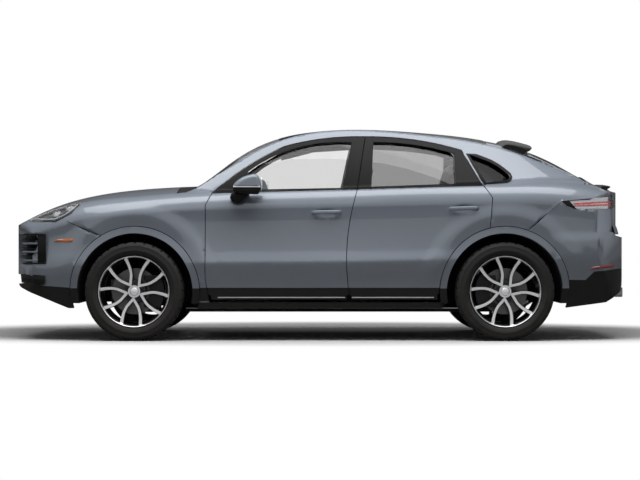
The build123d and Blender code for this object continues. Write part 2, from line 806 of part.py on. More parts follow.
recess_depth = INTAKE_DEPTH + INTAKE_BACK + SEAT_GAP
intake_holes = [intake_block(row, 0.0, -20.0, recess_depth) for row in INTAKES]
front_bumper = carve(
    shell,
    keep=polygon_cut(FRONT_BUMPER_AREA, inner=-SIDE_REACH),
    removes=[hood_zone, *intake_holes, tow_bore(-1)],
)
export(front_bumper, "front_bumper")
with BuildPart() as grille:
    for row in INTAKES:
        inner, outer, low, high, slats = row
        add(intake_block(row, SEAT_GAP, INTAKE_DEPTH, INTAKE_DEPTH + INTAKE_BACK))
        for level in range(1, slats + 1):
            middle = low + level * (high - low) / (slats + 1)
            low_edge = middle - SLAT_THICK / 2
            high_edge = low_edge + SLAT_THICK
            add(intake_block(row, SEAT_GAP, SLAT_SETBACK, INTAKE_DEPTH + 1, low_edge, high_edge))
export(grille.part, "grille")

# Headlamps and front fenders
headlamp = carve(left_shell, keep=polygon_cut(HEADLAMP_AREA, -SEAT_GAP), removes=[hood_zone])
export(both_sides(headlamp), "headlamps")
front_door_gap = side_cut(front_door_sketch(SHUT_GAP))
rear_door_gap = side_cut(rear_door_sketch(SHUT_GAP))
fender = carve(
    left_shell,
    keep=polygon_cut(FENDER_AREA, -SEAT_GAP),
    removes=[hood_zone, cowl_zone, screen_zone, front_door_gap],
)
with BuildPart() as left_fender:
    add(fender)
    front_leaf_x = (FRONT_DOOR_PIN[0] - SHUT_GAP, FRONT_DOOR_PIN[0])
    add(door_pin(FRONT_DOOR_PIN, front_leaf_x, FRONT_DOOR_PIN[1] - HINGE_LEAF_DEPTH))
export(both_sides(left_fender.part), "front_fenders")

# Rear bumper with room for the tailpipes, and tail lamps
pipe_width, pipe_height = TAILPIPE_SIZE
tailpipe_room = box(
    (2100, 2600),
    (-TAILPIPE_Y - pipe_width / 2 - 4, -TAILPIPE_Y + pipe_width / 2 + 4),
    (TAILPIPE_Z - pipe_height / 2 - 4, TAILPIPE_Z + pipe_height / 2 + 4),
)
rear_bumper = carve(
    shell,
    keep=polygon_cut(REAR_BUMPER_AREA, inner=-SIDE_REACH),
    removes=[tailgate_zone, both_sides(tailpipe_room), tow_bore(1)],
)
export(rear_bumper, "rear_bumper")
tail_lamp = carve(left_shell, keep=polygon_cut(TAIL_LAMP_AREA, -SEAT_GAP), removes=[tailgate_zone])
export(both_sides(tail_lamp), "tail_lamps")

# Body sides: pillars, roof rails, quarter panels and sills


def pillar_band(low_z, high_z):
    """The strip of the side view that the pillar between the doors takes up, between two heights."""
    (x_foot, _), (x_belt, z_belt), (x_head, _) = SEAM_FOOT, SEAM_BELT, SEAM_HEAD
    strip = (
        (x_foot - PILLAR_HALF_WIDTH, 150),
        (x_foot + PILLAR_HALF_WIDTH, 150),
        (x_belt + PILLAR_HALF_WIDTH, z_belt),
        (x_head + PILLAR_HALF_WIDTH, TALL),
        (x_head - PILLAR_HALF_WIDTH, TALL),
        (x_belt - PILLAR_HALF_WIDTH, z_belt),
    )
    return carve(polygon_cut(strip), keep=box((-500, 1000), (-SIDE_REACH, 0), (low_z, high_z)))


taken_areas = (FENDER_AREA, HEADLAMP_AREA, FRONT_BUMPER_AREA, TAIL_LAMP_AREA, REAR_BUMPER_AREA)
side = carve(
    left_shell,
    removes=[
        *[polygon_cut(area, SEAT_GAP) for area in taken_areas],
        hood_zone,
        cowl_zone,
        screen_zone,
        roof_zone,
        tailgate_zone,
        front_door_gap,
        rear_door_gap,
        side_cut(quarter_window_sketch()),
    ],
)
post_outer = inner_body(DOOR_THICK + SHUT_GAP, PILLAR_THICK + SHUT_GAP)
post_inner = inner_body(DOOR_THICK + SHUT_GAP + PILLAR_DEPTH, PILLAR_THICK + SHUT_GAP + PILLAR_DEPTH)
pillar_post = carve(
    post_outer,
    keep=pillar_band(PILLAR_FOOT_Z, PILLAR_HEAD_Z),
    removes=[post_inner, roof_zone],
)
pillar_head = carve(
    cabin_loft(PILLAR_THICK - PILLAR_LAP, INNER_FOOT_Z),
    keep=pillar_band(SEAM_HEAD[1] + SHUT_GAP + 2, PILLAR_HEAD_Z),
    removes=[post_inner, roof_zone],
)
pillar_foot = carve(
    body_loft(DOOR_THICK - 60, 0, INNER_LOW_Z),
    keep=pillar_band(PILLAR_FOOT_Z, DOOR_BOTTOM - SHUT_GAP),
    removes=[post_inner],
)
with BuildPart() as left_side:
    add(side)
    add(pillar_post)
    add(pillar_head)
    add(pillar_foot)
    add(
        door_pin(
            REAR_DOOR_PIN,
            (REAR_DOOR_PIN[0] - HINGE_LEAF / 2, REAR_DOOR_PIN[0] + HINGE_LEAF / 2),
            REAR_DOOR_PIN[1] - DOOR_THICK - SHUT_GAP - PILLAR_DEPTH / 2,
        )
    )
export(both_sides(left_side.part), "body_sides")

# Fixed quarter windows
glass_skin = carve(
    cabin_loft(GLASS_INSET, INNER_FOOT_Z),
    keep=box((-3000, 3000), (-SIDE_REACH, 0), (0, TALL)),
    removes=[cabin_loft(GLASS_INSET + GLASS_THICK, INNER_FOOT_Z - 50)],
)
export(both_sides(carve(glass_skin, keep=side_cut(quarter_window_sketch(-SEAT_GAP)))), "quarter_windows")


# Doors with hemmed edges, handles and windows


def door_handle(handle):
    """A grab handle standing off the door on two posts."""
    x, z = handle
    skin = HANDLE_SKIN_Y
    grip_inner = skin + HANDLE_STANDOFF
    with BuildPart() as bar:
        with BuildSketch(Plane.XZ.offset(grip_inner)):
            with Locations((x, z)):
                SlotOverall(HANDLE_LENGTH, HANDLE_HEIGHT)
        extrude(amount=HANDLE_GRIP)
        for end in (-1, 1):
            with BuildSketch(Plane.XZ.offset(skin - HANDLE_ROOT)):
                with Locations((x + end * (HANDLE_LENGTH / 2 - HANDLE_HEIGHT), z)):
                    Circle(HANDLE_HEIGHT / 3)
            extrude(amount=HANDLE_STANDOFF + HANDLE_ROOT + 1)
    return bar.part


hem_core = inner_body(DOOR_HEM_THICK, DOOR_HEM_THICK)
door_roof_gap = [
    seam_prism(SCREEN_SEAM, SHUT_GAP, SHUT_GAP, 1000),
    seam_prism(ROOF_SEAM, SHUT_GAP, SHUT_GAP, 1300),
]
doors = (
    ("front_door", front_door_sketch, front_window_sketch, FRONT_HANDLE),
    ("rear_door", rear_door_sketch, rear_window_sketch, REAR_HANDLE),
)
for name, door_sketch, window_sketch, handle in doors:
    hem = carve(hem_core, keep=side_cut(door_sketch()), removes=[side_cut(door_sketch(-DOOR_HEM_LAP))])
    panel = carve(
        left_shell,
        keep=side_cut(door_sketch()),
        removes=[hem, side_cut(window_sketch()), *door_roof_gap],
    )
    with BuildPart() as door:
        add(panel)
        add(door_handle(handle))
    export_pair(door.part, name)
    export_pair(carve(glass_skin, keep=side_cut(window_sketch(-SEAT_GAP))), f"{name}_window")

# Door mirrors on their feet
with BuildPart() as door_mirror:
    with BuildSketch(Plane.XZ.offset(MIRROR_INNER)) as mirror_outline:
        with BuildLine():
            Polyline(*MIRROR_OUTLINE, close=True)
        make_face()
        fillet(mirror_outline.vertices(), MIRROR_CORNER)
    extrude(amount=MIRROR_OUTER - MIRROR_INNER)
    fillet(door_mirror.faces().sort_by(Axis.Y)[0].edges(), MIRROR_ROUND)
    with BuildSketch(Plane.XZ.offset(MIRROR_FOOT_INNER)):
        with BuildLine():
            Polyline(*MIRROR_FOOT, close=True)
        make_face()
    extrude(amount=MIRROR_FOOT_OUTER - MIRROR_FOOT_INNER)
    add(body_loft(-SEAT_GAP, -SEAT_GAP), mode=Mode.SUBTRACT)
    add(cabin_loft(-SEAT_GAP), mode=Mode.SUBTRACT)
export_pair(door_mirror.part, "mirror")

# Wheel-arch trims
trim_skin = carve(
    body_loft(-ARCH_TRIM_PROUD),
    keep=box((-2200, 2200), (-SIDE_REACH, 0), (ARCH_TRIM_LOW_Z, 1000)),
    removes=[body_loft(ARCH_TRIM_DEPTH - ARCH_TRIM_PROUD, 0, INNER_LOW_Z)],
)
with BuildPart() as trims:
    for axle_x in AXLES:
        ring = carve(
            axle_cylinder(axle_x, ARCH_TRIM_RADIUS - SEAT_GAP, WHEEL_HOUSE_INNER, SIDE_REACH),
            removes=[axle_cylinder(axle_x, ARCH_RADIUS, WHEEL_HOUSE_INNER, SIDE_REACH)],
        )
        add(carve(ring, keep=trim_skin))
export(both_sides(trims.part), "arch_trims")

# Floor pan with firewall, front rails, wheel houses and load floor


def wheel_house(axle_x):
    """Liner over one left wheel, with an inner wall open for the suspension arms."""
    radius = ARCH_RADIUS - SEAT_GAP
    above = box((-3000, 3000), (-SIDE_REACH, 0), (ARCH_TRIM_LOW_Z, TALL))
    with BuildPart() as house:
        add(axle_cylinder(axle_x, radius, WHEEL_HOUSE_INNER - LINER_THICK, WHEEL_HOUSE_OUTER))
        add(axle_cylinder(axle_x, radius - LINER_THICK, WHEEL_HOUSE_INNER, SIDE_REACH), mode=Mode.SUBTRACT)
        add(above, mode=Mode.INTERSECT)
        add(
            box((axle_x - 230, axle_x + 230), (-WHEEL_HOUSE_INNER - 1, 0), (0, LINER_WINDOW_Z)),
            mode=Mode.SUBTRACT,
        )
    return house.part


with BuildPart() as floor_cut:
    add(box((FIREWALL_X, REAR_HEEL_X), (-SIDE_REACH, SIDE_REACH), (FLOOR_BOTTOM, FLOOR_TOP)))
    add(box((FIREWALL_X, FIREWALL_X + FLOOR_THICK), (-SIDE_REACH, SIDE_REACH), (FLOOR_BOTTOM, TALL)))
    load_floor_z = (LOAD_FLOOR_Z, LOAD_FLOOR_Z + FLOOR_THICK)
    add(box((REAR_HOUSE_END_X, 2500), (-SIDE_REACH, SIDE_REACH), load_floor_z))
    add(box((-2500, FIREWALL_X + 1), (-WHEEL_HOUSE_INNER, -RAIL_INNER), RAIL_Z))
    add(box((-2500, FIREWALL_X + 1), (RAIL_INNER, WHEEL_HOUSE_INNER), RAIL_Z))
with BuildPart() as floor_pan:
    add(carve(floor_cut.part, keep=fit, removes=arch_cuts))
    add(
        box(
            (REAR_HEEL_X - FLOOR_THICK, REAR_HEEL_X),
            (-HEEL_HALF_WIDTH, HEEL_HALF_WIDTH),
            (FLOOR_BOTTOM, LOAD_FLOOR_Z + FLOOR_THICK),
        )
    )
    add(
        box(
            (REAR_HEEL_X - 1, REAR_HOUSE_END_X + 1),
            (-WHEEL_HOUSE_INNER, WHEEL_HOUSE_INNER),
            (LOAD_FLOOR_Z, LOAD_FLOOR_Z + FLOOR_THICK),
        )
    )
    for axle_x in AXLES:
        add(both_sides(wheel_house(axle_x)))
export(floor_pan.part, "floor_pan")

# Suspension arms with struts on a crossmember, front and rear
arm_low_z = LOWER_ARM_TOP - ARM_THICK
upper_arm_z = TYRE_RADIUS + KNUCKLE_HIGH + PIVOT_GAP
strut_top_z = TYRE_RADIUS + (ARCH_RADIUS - LINER_THICK) - STRUT_HEAD_DROP
crossmembers = (
    ("front_suspension", FRONT_AXLE_X, FRONT_CROSSMEMBER_LOW_Z, ENGINE_LOW_Z - SEAT_GAP),
    ("rear_suspension", REAR_AXLE_X, REAR_CROSSMEMBER_LOW_Z, REAR_CROSSMEMBER_TOP_Z),
)
for name, axle_x, cross_low_z, cross_high_z in crossmembers:
    with BuildPart() as left_arms:
        with BuildSketch(Plane.XY.offset(arm_low_z)):
            with BuildLine():
                Polyline(
                    (axle_x - 150, -CROSSMEMBER_HALF_WIDTH + 20),
                    (axle_x + 150, -CROSSMEMBER_HALF_WIDTH + 20),
                    (axle_x + 24, -ARM_END_Y),
                    (axle_x - 24, -ARM_END_Y),
                    close=True,
                )
            make_face()
        extrude(amount=ARM_THICK)
        add(
            box(
                (axle_x - 26, axle_x + 26),
                (-ARM_END_Y, -WHEEL_HOUSE_INNER - SEAT_GAP),
                (upper_arm_z, upper_arm_z + ARM_THICK * 0.8),
            )
        )
        with BuildSketch(Plane.XY.offset(arm_low_z)):
            with Locations((axle_x, -STRUT_Y)):
                Circle(STRUT_RADIUS)
        extrude(amount=strut_top_z - arm_low_z)
    with BuildPart() as suspension:
        add(both_sides(left_arms.part))
        add(
            box(
                (axle_x - 95, axle_x + 95),
                (-CROSSMEMBER_HALF_WIDTH, CROSSMEMBER_HALF_WIDTH),
                (cross_low_z, cross_high_z),
            )
        )
    export(suspension.part, name)

# Knuckles with spindle and brake caliper, the caliper behind the front axle and ahead of the rear one


def knuckle(axle_x, caliper_side):
    """Left knuckle of one axle."""
    disc_outer = HALF_TRACK + DISC_FACE
    disc_inner = disc_outer - DISC_THICK
    caliper_inner = disc_inner - CALIPER_GAP - CALIPER_WALL
    caliper_outer = disc_outer + CALIPER_GAP + CALIPER_WALL
    low_z = TYRE_RADIUS - KNUCKLE_LOW
    high_z = TYRE_RADIUS + KNUCKLE_HIGH
    near, far = sorted((axle_x + caliper_side * 70, axle_x + caliper_side * 400))
    mount_near, mount_far = sorted((axle_x, axle_x + caliper_side * 150))
    with BuildPart() as caliper:
        add(axle_cylinder(axle_x, CALIPER_OUTER_RADIUS, caliper_inner, caliper_outer))
        add(axle_cylinder(axle_x, CALIPER_INNER_RADIUS, 0, SIDE_REACH), mode=Mode.SUBTRACT)
        add(
            axle_cylinder(
                axle_x, DISC_RADIUS + CALIPER_GAP, disc_inner - CALIPER_GAP, disc_outer + CALIPER_GAP
            ),
            mode=Mode.SUBTRACT,
        )
        add(
            box(
                (near, far),
                (-SIDE_REACH, 0),
                (TYRE_RADIUS - CALIPER_HALF_LENGTH, TYRE_RADIUS + CALIPER_HALF_LENGTH),
            ),
            mode=Mode.INTERSECT,
        )
    with BuildPart() as whole:
        add(
            box(
                (axle_x - KNUCKLE_HALF_LENGTH, axle_x + KNUCKLE_HALF_LENGTH),
                (-KNUCKLE_OUTER, -KNUCKLE_INNER),
                (low_z, high_z),
            )
        )
        mount_z = (TYRE_RADIUS - 40, TYRE_RADIUS + 40)
        add(box((mount_near, mount_far), (-KNUCKLE_OUTER, -KNUCKLE_INNER), mount_z))
        add(axle_cylinder(axle_x, SPINDLE_RADIUS, KNUCKLE_INNER, HALF_TRACK + SPINDLE_END))
        add(caliper.part)
        with BuildSketch(Plane.XY.offset(LOWER_ARM_TOP + PIVOT_GAP)):
            with Locations((axle_x, -KINGPIN_Y)):
                Circle(PIVOT_RADIUS)
        extrude(amount=low_z - LOWER_ARM_TOP - PIVOT_GAP + 1)
    return whole.part


export_pair(knuckle(FRONT_AXLE_X, 1), "front_knuckle")
export_pair(knuckle(REAR_AXLE_X, -1), "rear_knuckle")

# Tyres and wheels, drawn about the origin with the outboard side at -Y
flange_inner = RIM_HALF_WIDTH - FLANGE_WIDTH
with BuildPart() as tyre:
    with BuildSketch(Plane.XY):
        with BuildLine():
            Polyline(
                (BEAD_RADIUS + SEAT_GAP, -flange_inner + SEAT_GAP),
                (RIM_RADIUS + SEAT_GAP, -flange_inner + SEAT_GAP),
                (SIDEWALL_RADIUS, -TYRE_HALF_WIDTH),
                (TYRE_RADIUS, -TREAD_HALF_WIDTH),
                (TYRE_RADIUS, TREAD_HALF_WIDTH),
                (SIDEWALL_RADIUS, TYRE_HALF_WIDTH),
                (RIM_RADIUS + SEAT_GAP, flange_inner - SEAT_GAP),
                (BEAD_RADIUS + SEAT_GAP, flange_inner - SEAT_GAP),
                close=True,
            )
        make_face()
    revolve(axis=Axis.Y)


def spoke_sketch(side):
    """One spoke of a pair, on one side of the pair's axis along x."""
    with BuildSketch() as spoke:
        with BuildLine():
            Line((30, side * 24), (132, side * 26))
            ThreePointArc((132, side * 26), (200, side * 45), (SPOKE_END, side * 72))
            Line((SPOKE_END, side * 72), (SPOKE_END - 9, side * 94))
            ThreePointArc((SPOKE_END - 9, side * 94), (194, side * 65), (124, side * 45))
            Polyline((124, side * 45), (30, side * 46), (30, side * 24))
        make_face()
    return spoke.sketch


wheel_face = Plane.XZ.offset(SPOKE_FACE)
with BuildPart() as wheel:
    with BuildSketch(Plane.XY):
        with BuildLine():
            Polyline(
                (BEAD_RADIUS - RIM_WALL, -RIM_HALF_WIDTH + 8),
                (RIM_RADIUS - 10, -RIM_HALF_WIDTH),
                (RIM_RADIUS, -RIM_HALF_WIDTH),
                (RIM_RADIUS, -flange_inner),
                (BEAD_RADIUS, -flange_inner),
                (BEAD_RADIUS, flange_inner),
                (RIM_RADIUS, flange_inner),
                (RIM_RADIUS, RIM_HALF_WIDTH),
                (BEAD_RADIUS - RIM_WALL, RIM_HALF_WIDTH),
                close=True,
            )
        make_face()
    revolve(axis=Axis.Y)
    with BuildSketch(wheel_face):
        with PolarLocations(0, SPOKE_PAIRS, start_angle=FIRST_PAIR_ANGLE):
            add(spoke_sketch(1))
            add(spoke_sketch(-1))
        Circle(HUB_RADIUS)
    extrude(amount=-SPOKE_DEPTH)
    with BuildSketch(Plane.XZ.offset(DISC_FACE - DISC_THICK)):
        Circle(HUB_RADIUS)
    extrude(amount=SPOKE_FACE - SPOKE_DEPTH - DISC_FACE + DISC_THICK + 1)
    with BuildSketch(Plane.XZ.offset(DISC_FACE - DISC_THICK)):
        Circle(DISC_RADIUS)
    extrude(amount=DISC_THICK)
    with BuildSketch(wheel_face):
        with PolarLocations(LUG_CIRCLE_RADIUS, LUGS, start_angle=FIRST_PAIR_ANGLE):
            Circle(LUG_HOLE_RADIUS)
    extrude(amount=-HUB_POCKET, mode=Mode.SUBTRACT)
    with BuildSketch(Plane.XZ.offset(DISC_FACE - DISC_THICK)):
        Circle(SPINDLE_RADIUS + SPINDLE_CLEARANCE)
    extrude(amount=SPINDLE_END + 2 - DISC_FACE + DISC_THICK, mode=Mode.SUBTRACT)

for end, axle_x in (("front", FRONT_AXLE_X), ("rear", REAR_AXLE_X)):
    place = Location((axle_x, -HALF_TRACK, TYRE_RADIUS))
    export_pair(place * tyre.part, f"{end}_tyre")
    export_pair(place * wheel.part, f"{end}_wheel")

# Engine block on the front crossmember
engine_length, engine_width, engine_height = ENGINE_SIZE
with BuildPart() as engine:
    with Locations((FRONT_AXLE_X + ENGINE_SHIFT, 0, ENGINE_LOW_Z + engine_height / 2)):
        Box(engine_length, engine_width, engine_height)
    chamfer(engine.edges().filter_by(Axis.X), 60)
export(engine.part, "engine")

# Exhaust: pipe under the floor and up to the silencer, hangers and two flat tailpipes
pipe_front_x = FRONT_AXLE_X + ENGINE_SHIFT + engine_length / 2 + SEAT_GAP
silencer_mid_x = sum(SILENCER_X) / 2
with BuildPart() as exhaust:
    with BuildLine():
        FilletPolyline(
            (pipe_front_x, 0, PIPE_Z),
            (SILENCER_X[0] - PIPE_RISE, 0, PIPE_Z),
            (SILENCER_X[0] - PIPE_RISE / 3, 0, TAILPIPE_Z),
            (silencer_mid_x, 0, TAILPIPE_Z),
            radius=PIPE_BEND,
        )
    with BuildSketch(Plane(origin=(pipe_front_x, 0, PIPE_Z), z_dir=(1, 0, 0))):
        Circle(PIPE_RADIUS)
    sweep()
    add(box(SILENCER_X, (-SILENCER_HALF_WIDTH, SILENCER_HALF_WIDTH), SILENCER_Z))
    with BuildSketch(Plane.XY.offset(SILENCER_Z[1] - 2)):
        with Locations((silencer_mid_x, -HANGER_Y), (silencer_mid_x, HANGER_Y)):
            Circle(HANGER_RADIUS)
    extrude(amount=LOAD_FLOOR_Z - SEAT_GAP - SILENCER_Z[1] + 2)
    for side_sign in (-1, 1):
        with BuildSketch(Plane.YZ.offset(SILENCER_X[1] - 2)):
            with Locations((side_sign * TAILPIPE_Y, TAILPIPE_Z)):
                RectangleRounded(pipe_width, pipe_height, 24)
        extrude(amount=TAILPIPE_END_X - SILENCER_X[1] + 2)
        with BuildSketch(Plane.YZ.offset(TAILPIPE_END_X)):
            with Locations((side_sign * TAILPIPE_Y, TAILPIPE_Z)):
                RectangleRounded(pipe_width - 2 * TAILPIPE_WALL, pipe_height - 2 * TAILPIPE_WALL, 20)
        extrude(amount=-TAILPIPE_BORE, mode=Mode.SUBTRACT)
export(exhaust.part, "exhaust")

# Dashboard, steering wheel and seats
dashboard = across_prism(DASH_OUTLINE, DASH_HALF_WIDTH)
export(dashboard, "dashboard")

wheel_plane = Plane(origin=STEERING_WHEEL_AT, x_dir=(0, 1, 0), z_dir=STEERING_WHEEL_FACES)
with BuildPart() as steering_wheel:
    with BuildSketch(wheel_plane):
        Circle(STEERING_WHEEL_RADIUS)
        Circle(STEERING_WHEEL_RADIUS - 2 * STEERING_RIM_RADIUS, mode=Mode.SUBTRACT)
        Rectangle(2 * STEERING_WHEEL_RADIUS - 2 * STEERING_RIM_RADIUS, 40)
        Circle(62)
        with Locations((0, -STEERING_WHEEL_RADIUS / 2)):
            Rectangle(44, STEERING_WHEEL_RADIUS - 2 * STEERING_RIM_RADIUS)
    extrude(amount=STEERING_RIM_RADIUS, both=True)
    with BuildSketch(wheel_plane):
        Circle(38)
    extrude(amount=-STEERING_COLUMN)
    add(across_prism(DASH_OUTLINE, DASH_HALF_WIDTH, grow=SEAT_GAP), mode=Mode.SUBTRACT)
export(steering_wheel.part, "steering_wheel")


def seat(shift_x, middle_y, width, base_low_z):
    """A seat with cushion, backrest and head restraints over the given width."""
    half = width / 2
    moved = [[(x + shift_x, z) for x, z in outline] for outline in (CUSHION, BACKREST, HEADREST)]
    with BuildPart() as piece:
        add(across_prism(moved[0], half, middle_y))
        add(across_prism(moved[1], half - 12, middle_y))
        for offset_y in HEADREST_OFFSETS[width]:
            add(across_prism(moved[2], 125, middle_y + offset_y))
        base_y = (middle_y - half + 60, middle_y + half - 60)
        add(box((shift_x - 250, shift_x + 190), base_y, (base_low_z, 560)))
    return piece.part


with BuildPart() as seats:
    add(seat(-60, -SEAT_Y, FRONT_SEAT_WIDTH, FLOOR_TOP + SEAT_GAP))
    add(seat(-60, SEAT_Y, FRONT_SEAT_WIDTH, FLOOR_TOP + SEAT_GAP))
    add(seat(REAR_SEAT_SHIFT, 0, REAR_SEAT_WIDTH, FLOOR_TOP + SEAT_GAP))
export(seats.part, "seats")
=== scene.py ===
import bpy
import bmesh
import json
import math
import numpy as np
from mathutils import Matrix, Vector
from mathutils.bvhtree import BVHTree


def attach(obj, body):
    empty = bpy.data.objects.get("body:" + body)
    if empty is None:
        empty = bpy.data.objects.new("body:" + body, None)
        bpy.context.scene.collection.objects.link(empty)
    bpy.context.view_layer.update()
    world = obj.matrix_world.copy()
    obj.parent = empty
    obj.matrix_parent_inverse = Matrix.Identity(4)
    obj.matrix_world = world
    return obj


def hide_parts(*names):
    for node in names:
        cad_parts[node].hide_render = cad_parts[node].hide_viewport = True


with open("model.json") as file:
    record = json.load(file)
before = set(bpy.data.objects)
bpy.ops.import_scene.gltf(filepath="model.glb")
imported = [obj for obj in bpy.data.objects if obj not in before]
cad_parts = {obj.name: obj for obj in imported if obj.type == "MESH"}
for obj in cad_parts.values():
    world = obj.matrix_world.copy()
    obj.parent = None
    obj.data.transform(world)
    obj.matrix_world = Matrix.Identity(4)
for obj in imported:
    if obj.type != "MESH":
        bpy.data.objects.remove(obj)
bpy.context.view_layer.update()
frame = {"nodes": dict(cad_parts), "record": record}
nodes = frame["nodes"]
bodyOf = {node: body for body, names in frame["record"]["behaviour"]["bodies"].items() for node in names}
scene = bpy.context.scene
scene.view_settings.view_transform = "Standard"
mm = 0.001
hands = (("left", -1), ("right", 1))
fourCorners = [(end, hand) for end in ("front", "rear") for hand in ("left", "right")]
print("frame loaded:", len(nodes), "nodes")


# camera, light and floor

studio = {
    "cameraAt": (0.0, -16.0, 0.788),
    "lens": 108.6,
    "skyLight": 0.085,
    # name, place, aim, width, depth and power
    "softboxes": (("topSoftbox", (0, -2.0, 5.2), (0, -0.5, 0), 7.5, 3.0, 222.0),
                  ("leftSoftbox", (-2.0, -7.5, 4.2), (0, 0, 0.7), 5.0, 1.6, 12.0),
                  ("rightSoftbox", (2.0, 7.5, 4.2), (0, 0, 0.7), 5.0, 1.6, 12.0)),
    "mirrored": (0.68, 0.08),         # how bright the room looks in reflections, camera side and far side
    "floorBounce": 0.07,
    "floorTone": 0.97,
    "floorMirrored": 0.6,
    "shadowMiddle": (0.0, 0.5),       # floor fades to plain white around an oval
    "shadowHalf": (2.75, 1.65),
    "whiteTo": 1.45,
}


def makeStudio():
    camera = bpy.data.cameras.new("sideCamera")
    camera.lens = studio["lens"]
    camera.sensor_width = 36
    camera.clip_end = 200
    eye = bpy.data.objects.new("sideCamera", camera)
    eye.location = studio["cameraAt"]
    eye.rotation_euler = (math.pi / 2, 0, 0)
    scene.collection.objects.link(eye)
    scene.camera = eye

    for name, at, aim, width, depth, power in studio["softboxes"]:
        lamp = bpy.data.lights.new(name, "AREA")
        lamp.shape = "RECTANGLE"
        lamp.size, lamp.size_y = width, depth
        lamp.energy = power
        holder = bpy.data.objects.new(name, lamp)
        holder.location = at
        holder.rotation_euler = (Vector(aim) - Vector(at)).to_track_quat("-Z", "Y").to_euler()
        scene.collection.objects.link(holder)

    world = bpy.data.worlds.new("studioWorld")
    world.use_nodes = True
    scene.world = world
    tree = world.node_tree
    tree.nodes.clear()
    path = tree.nodes.new("ShaderNodeLightPath")
    seen = tree.nodes.new("ShaderNodeMath")
    seen.operation = "MAXIMUM"
    around, split = tree.nodes.new("ShaderNodeTexCoord"), tree.nodes.new("ShaderNodeSeparateXYZ")
    room = tree.nodes.new("ShaderNodeMapRange")
    room.inputs["From Min"].default_value = -1.0
    room.inputs["To Min"].default_value, room.inputs["To Max"].default_value = studio["mirrored"]
    lit, strength = tree.nodes.new("ShaderNodeMix"), tree.nodes.new("ShaderNodeMix")
    lit.inputs["A"].default_value = studio["skyLight"]
    strength.inputs["B"].default_value = 1.0
    sky = tree.nodes.new("ShaderNodeBackground")
    sky.inputs["Color"].default_value = (1, 1, 1, 1)
    out = tree.nodes.new("ShaderNodeOutputWorld")
    link = tree.links.new
    link(path.outputs["Is Camera Ray"], seen.inputs[0])
    link(path.outputs["Is Transmission Ray"], seen.inputs[1])
    link(around.outputs["Generated"], split.inputs[0])
    link(split.outputs["Y"], room.inputs["Value"])
    link(room.outputs["Result"], lit.inputs["B"])
    link(path.outputs["Is Glossy Ray"], lit.inputs["Factor"])
    link(lit.outputs["Result"], strength.inputs["A"])
    link(seen.outputs[0], strength.inputs["Factor"])
    link(strength.outputs["Result"], sky.inputs["Strength"])
    link(sky.outputs[0], out.inputs["Surface"])

    # pale floor: white to the camera, greyer where it lights the object from below
    bm = bmesh.new()
    bmesh.ops.create_grid(bm, x_segments=2, y_segments=2, size=60)
    floor = makePiece("studioFloor", bm)
    mat = bpy.data.materials.new("paleFloor")
    mat.use_nodes = True
    tree = mat.node_tree
    shader = tree.nodes["Principled BSDF"]
    shader.inputs["Roughness"].default_value = 0.9
    shader.inputs["Specular IOR Level"].default_value = 0.0
    path = tree.nodes.new("ShaderNodeLightPath")
    both = tree.nodes.new("ShaderNodeMath")
    both.operation = "MAXIMUM"
    tone = tree.nodes.new("ShaderNodeMix")
    tone.data_type = "RGBA"
    tone.inputs["A"].default_value = (*[studio["floorBounce"]] * 3, 1)
    tone.inputs["B"].default_value = (*[studio["floorTone"]] * 3, 1)
    where = tree.nodes.new("ShaderNodeTexCoord")
    squeeze = tree.nodes.new("ShaderNodeMapping")
    (midX, midY), (halfX, halfY) = studio["shadowMiddle"], studio["shadowHalf"]
    squeeze.inputs["Location"].default_value = (-midX / halfX, -midY / halfY, 0)
    squeeze.inputs["Scale"].default_value = (1 / halfX, 1 / halfY, 1)
    reach = tree.nodes.new("ShaderNodeVectorMath")
    reach.operation = "LENGTH"
    far = tree.nodes.new("ShaderNodeMapRange")
    far.interpolation_type = "SMOOTHSTEP"
    far.inputs["From Min"].default_value = 1.0
    far.inputs["From Max"].default_value = studio["whiteTo"]
    glow = tree.nodes.new("ShaderNodeMath")
    glow.operation = "MULTIPLY"
    fade = tree.nodes.new("ShaderNodeMix")
    fade.data_type = "RGBA"
    fade.inputs["B"].default_value = (0, 0, 0, 1)
    shader.inputs["Emission Color"].default_value = (1, 1, 1, 1)
    link = tree.links.new
    link(path.outputs["Is Camera Ray"], both.inputs[0])
    link(path.outputs["Is Transmission Ray"], both.inputs[1])
    mirrored, shown = tree.nodes.new("ShaderNodeMath"), tree.nodes.new("ShaderNodeMath")
    mirrored.operation, shown.operation = "MULTIPLY", "MAXIMUM"
    mirrored.inputs[1].default_value = studio["floorMirrored"]
    link(path.outputs["Is Glossy Ray"], mirrored.inputs[0])
    link(both.outputs[0], shown.inputs[0])
    link(mirrored.outputs[0], shown.inputs[1])
    link(shown.outputs[0], tone.inputs["Factor"])
    link(where.outputs["Object"], squeeze.inputs["Vector"])
    link(squeeze.outputs["Vector"], reach.inputs[0])
    link(reach.outputs["Value"], far.inputs["Value"])
    link(far.outputs["Result"], glow.inputs[0])
    link(both.outputs[0], glow.inputs[1])
    link(glow.outputs[0], fade.inputs["Factor"])
    link(tone.outputs["Result"], fade.inputs["A"])
    link(fade.outputs["Result"], shader.inputs["Base Color"])
    link(glow.outputs[0], shader.inputs["Emission Strength"])
    floor.data.materials.append(mat)
    print("studio ready")


# pieces and small mesh helpers

def makePiece(name, bm, materials=(), body=None, smooth=None, replaces=()):
    mesh = bpy.data.meshes.new(name)
    bm.to_mesh(mesh)
    bm.free()
    for mat in materials:
        mesh.materials.append(mat)
    if smooth is not None:
        mesh.shade_smooth()
        mesh.set_sharp_from_angle(angle=math.radians(smooth))
    piece = bpy.data.objects.new(name, mesh)
    scene.collection.objects.link(piece)
    if body:
        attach(piece, body)
    if replaces:
        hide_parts(*replaces)
    return piece


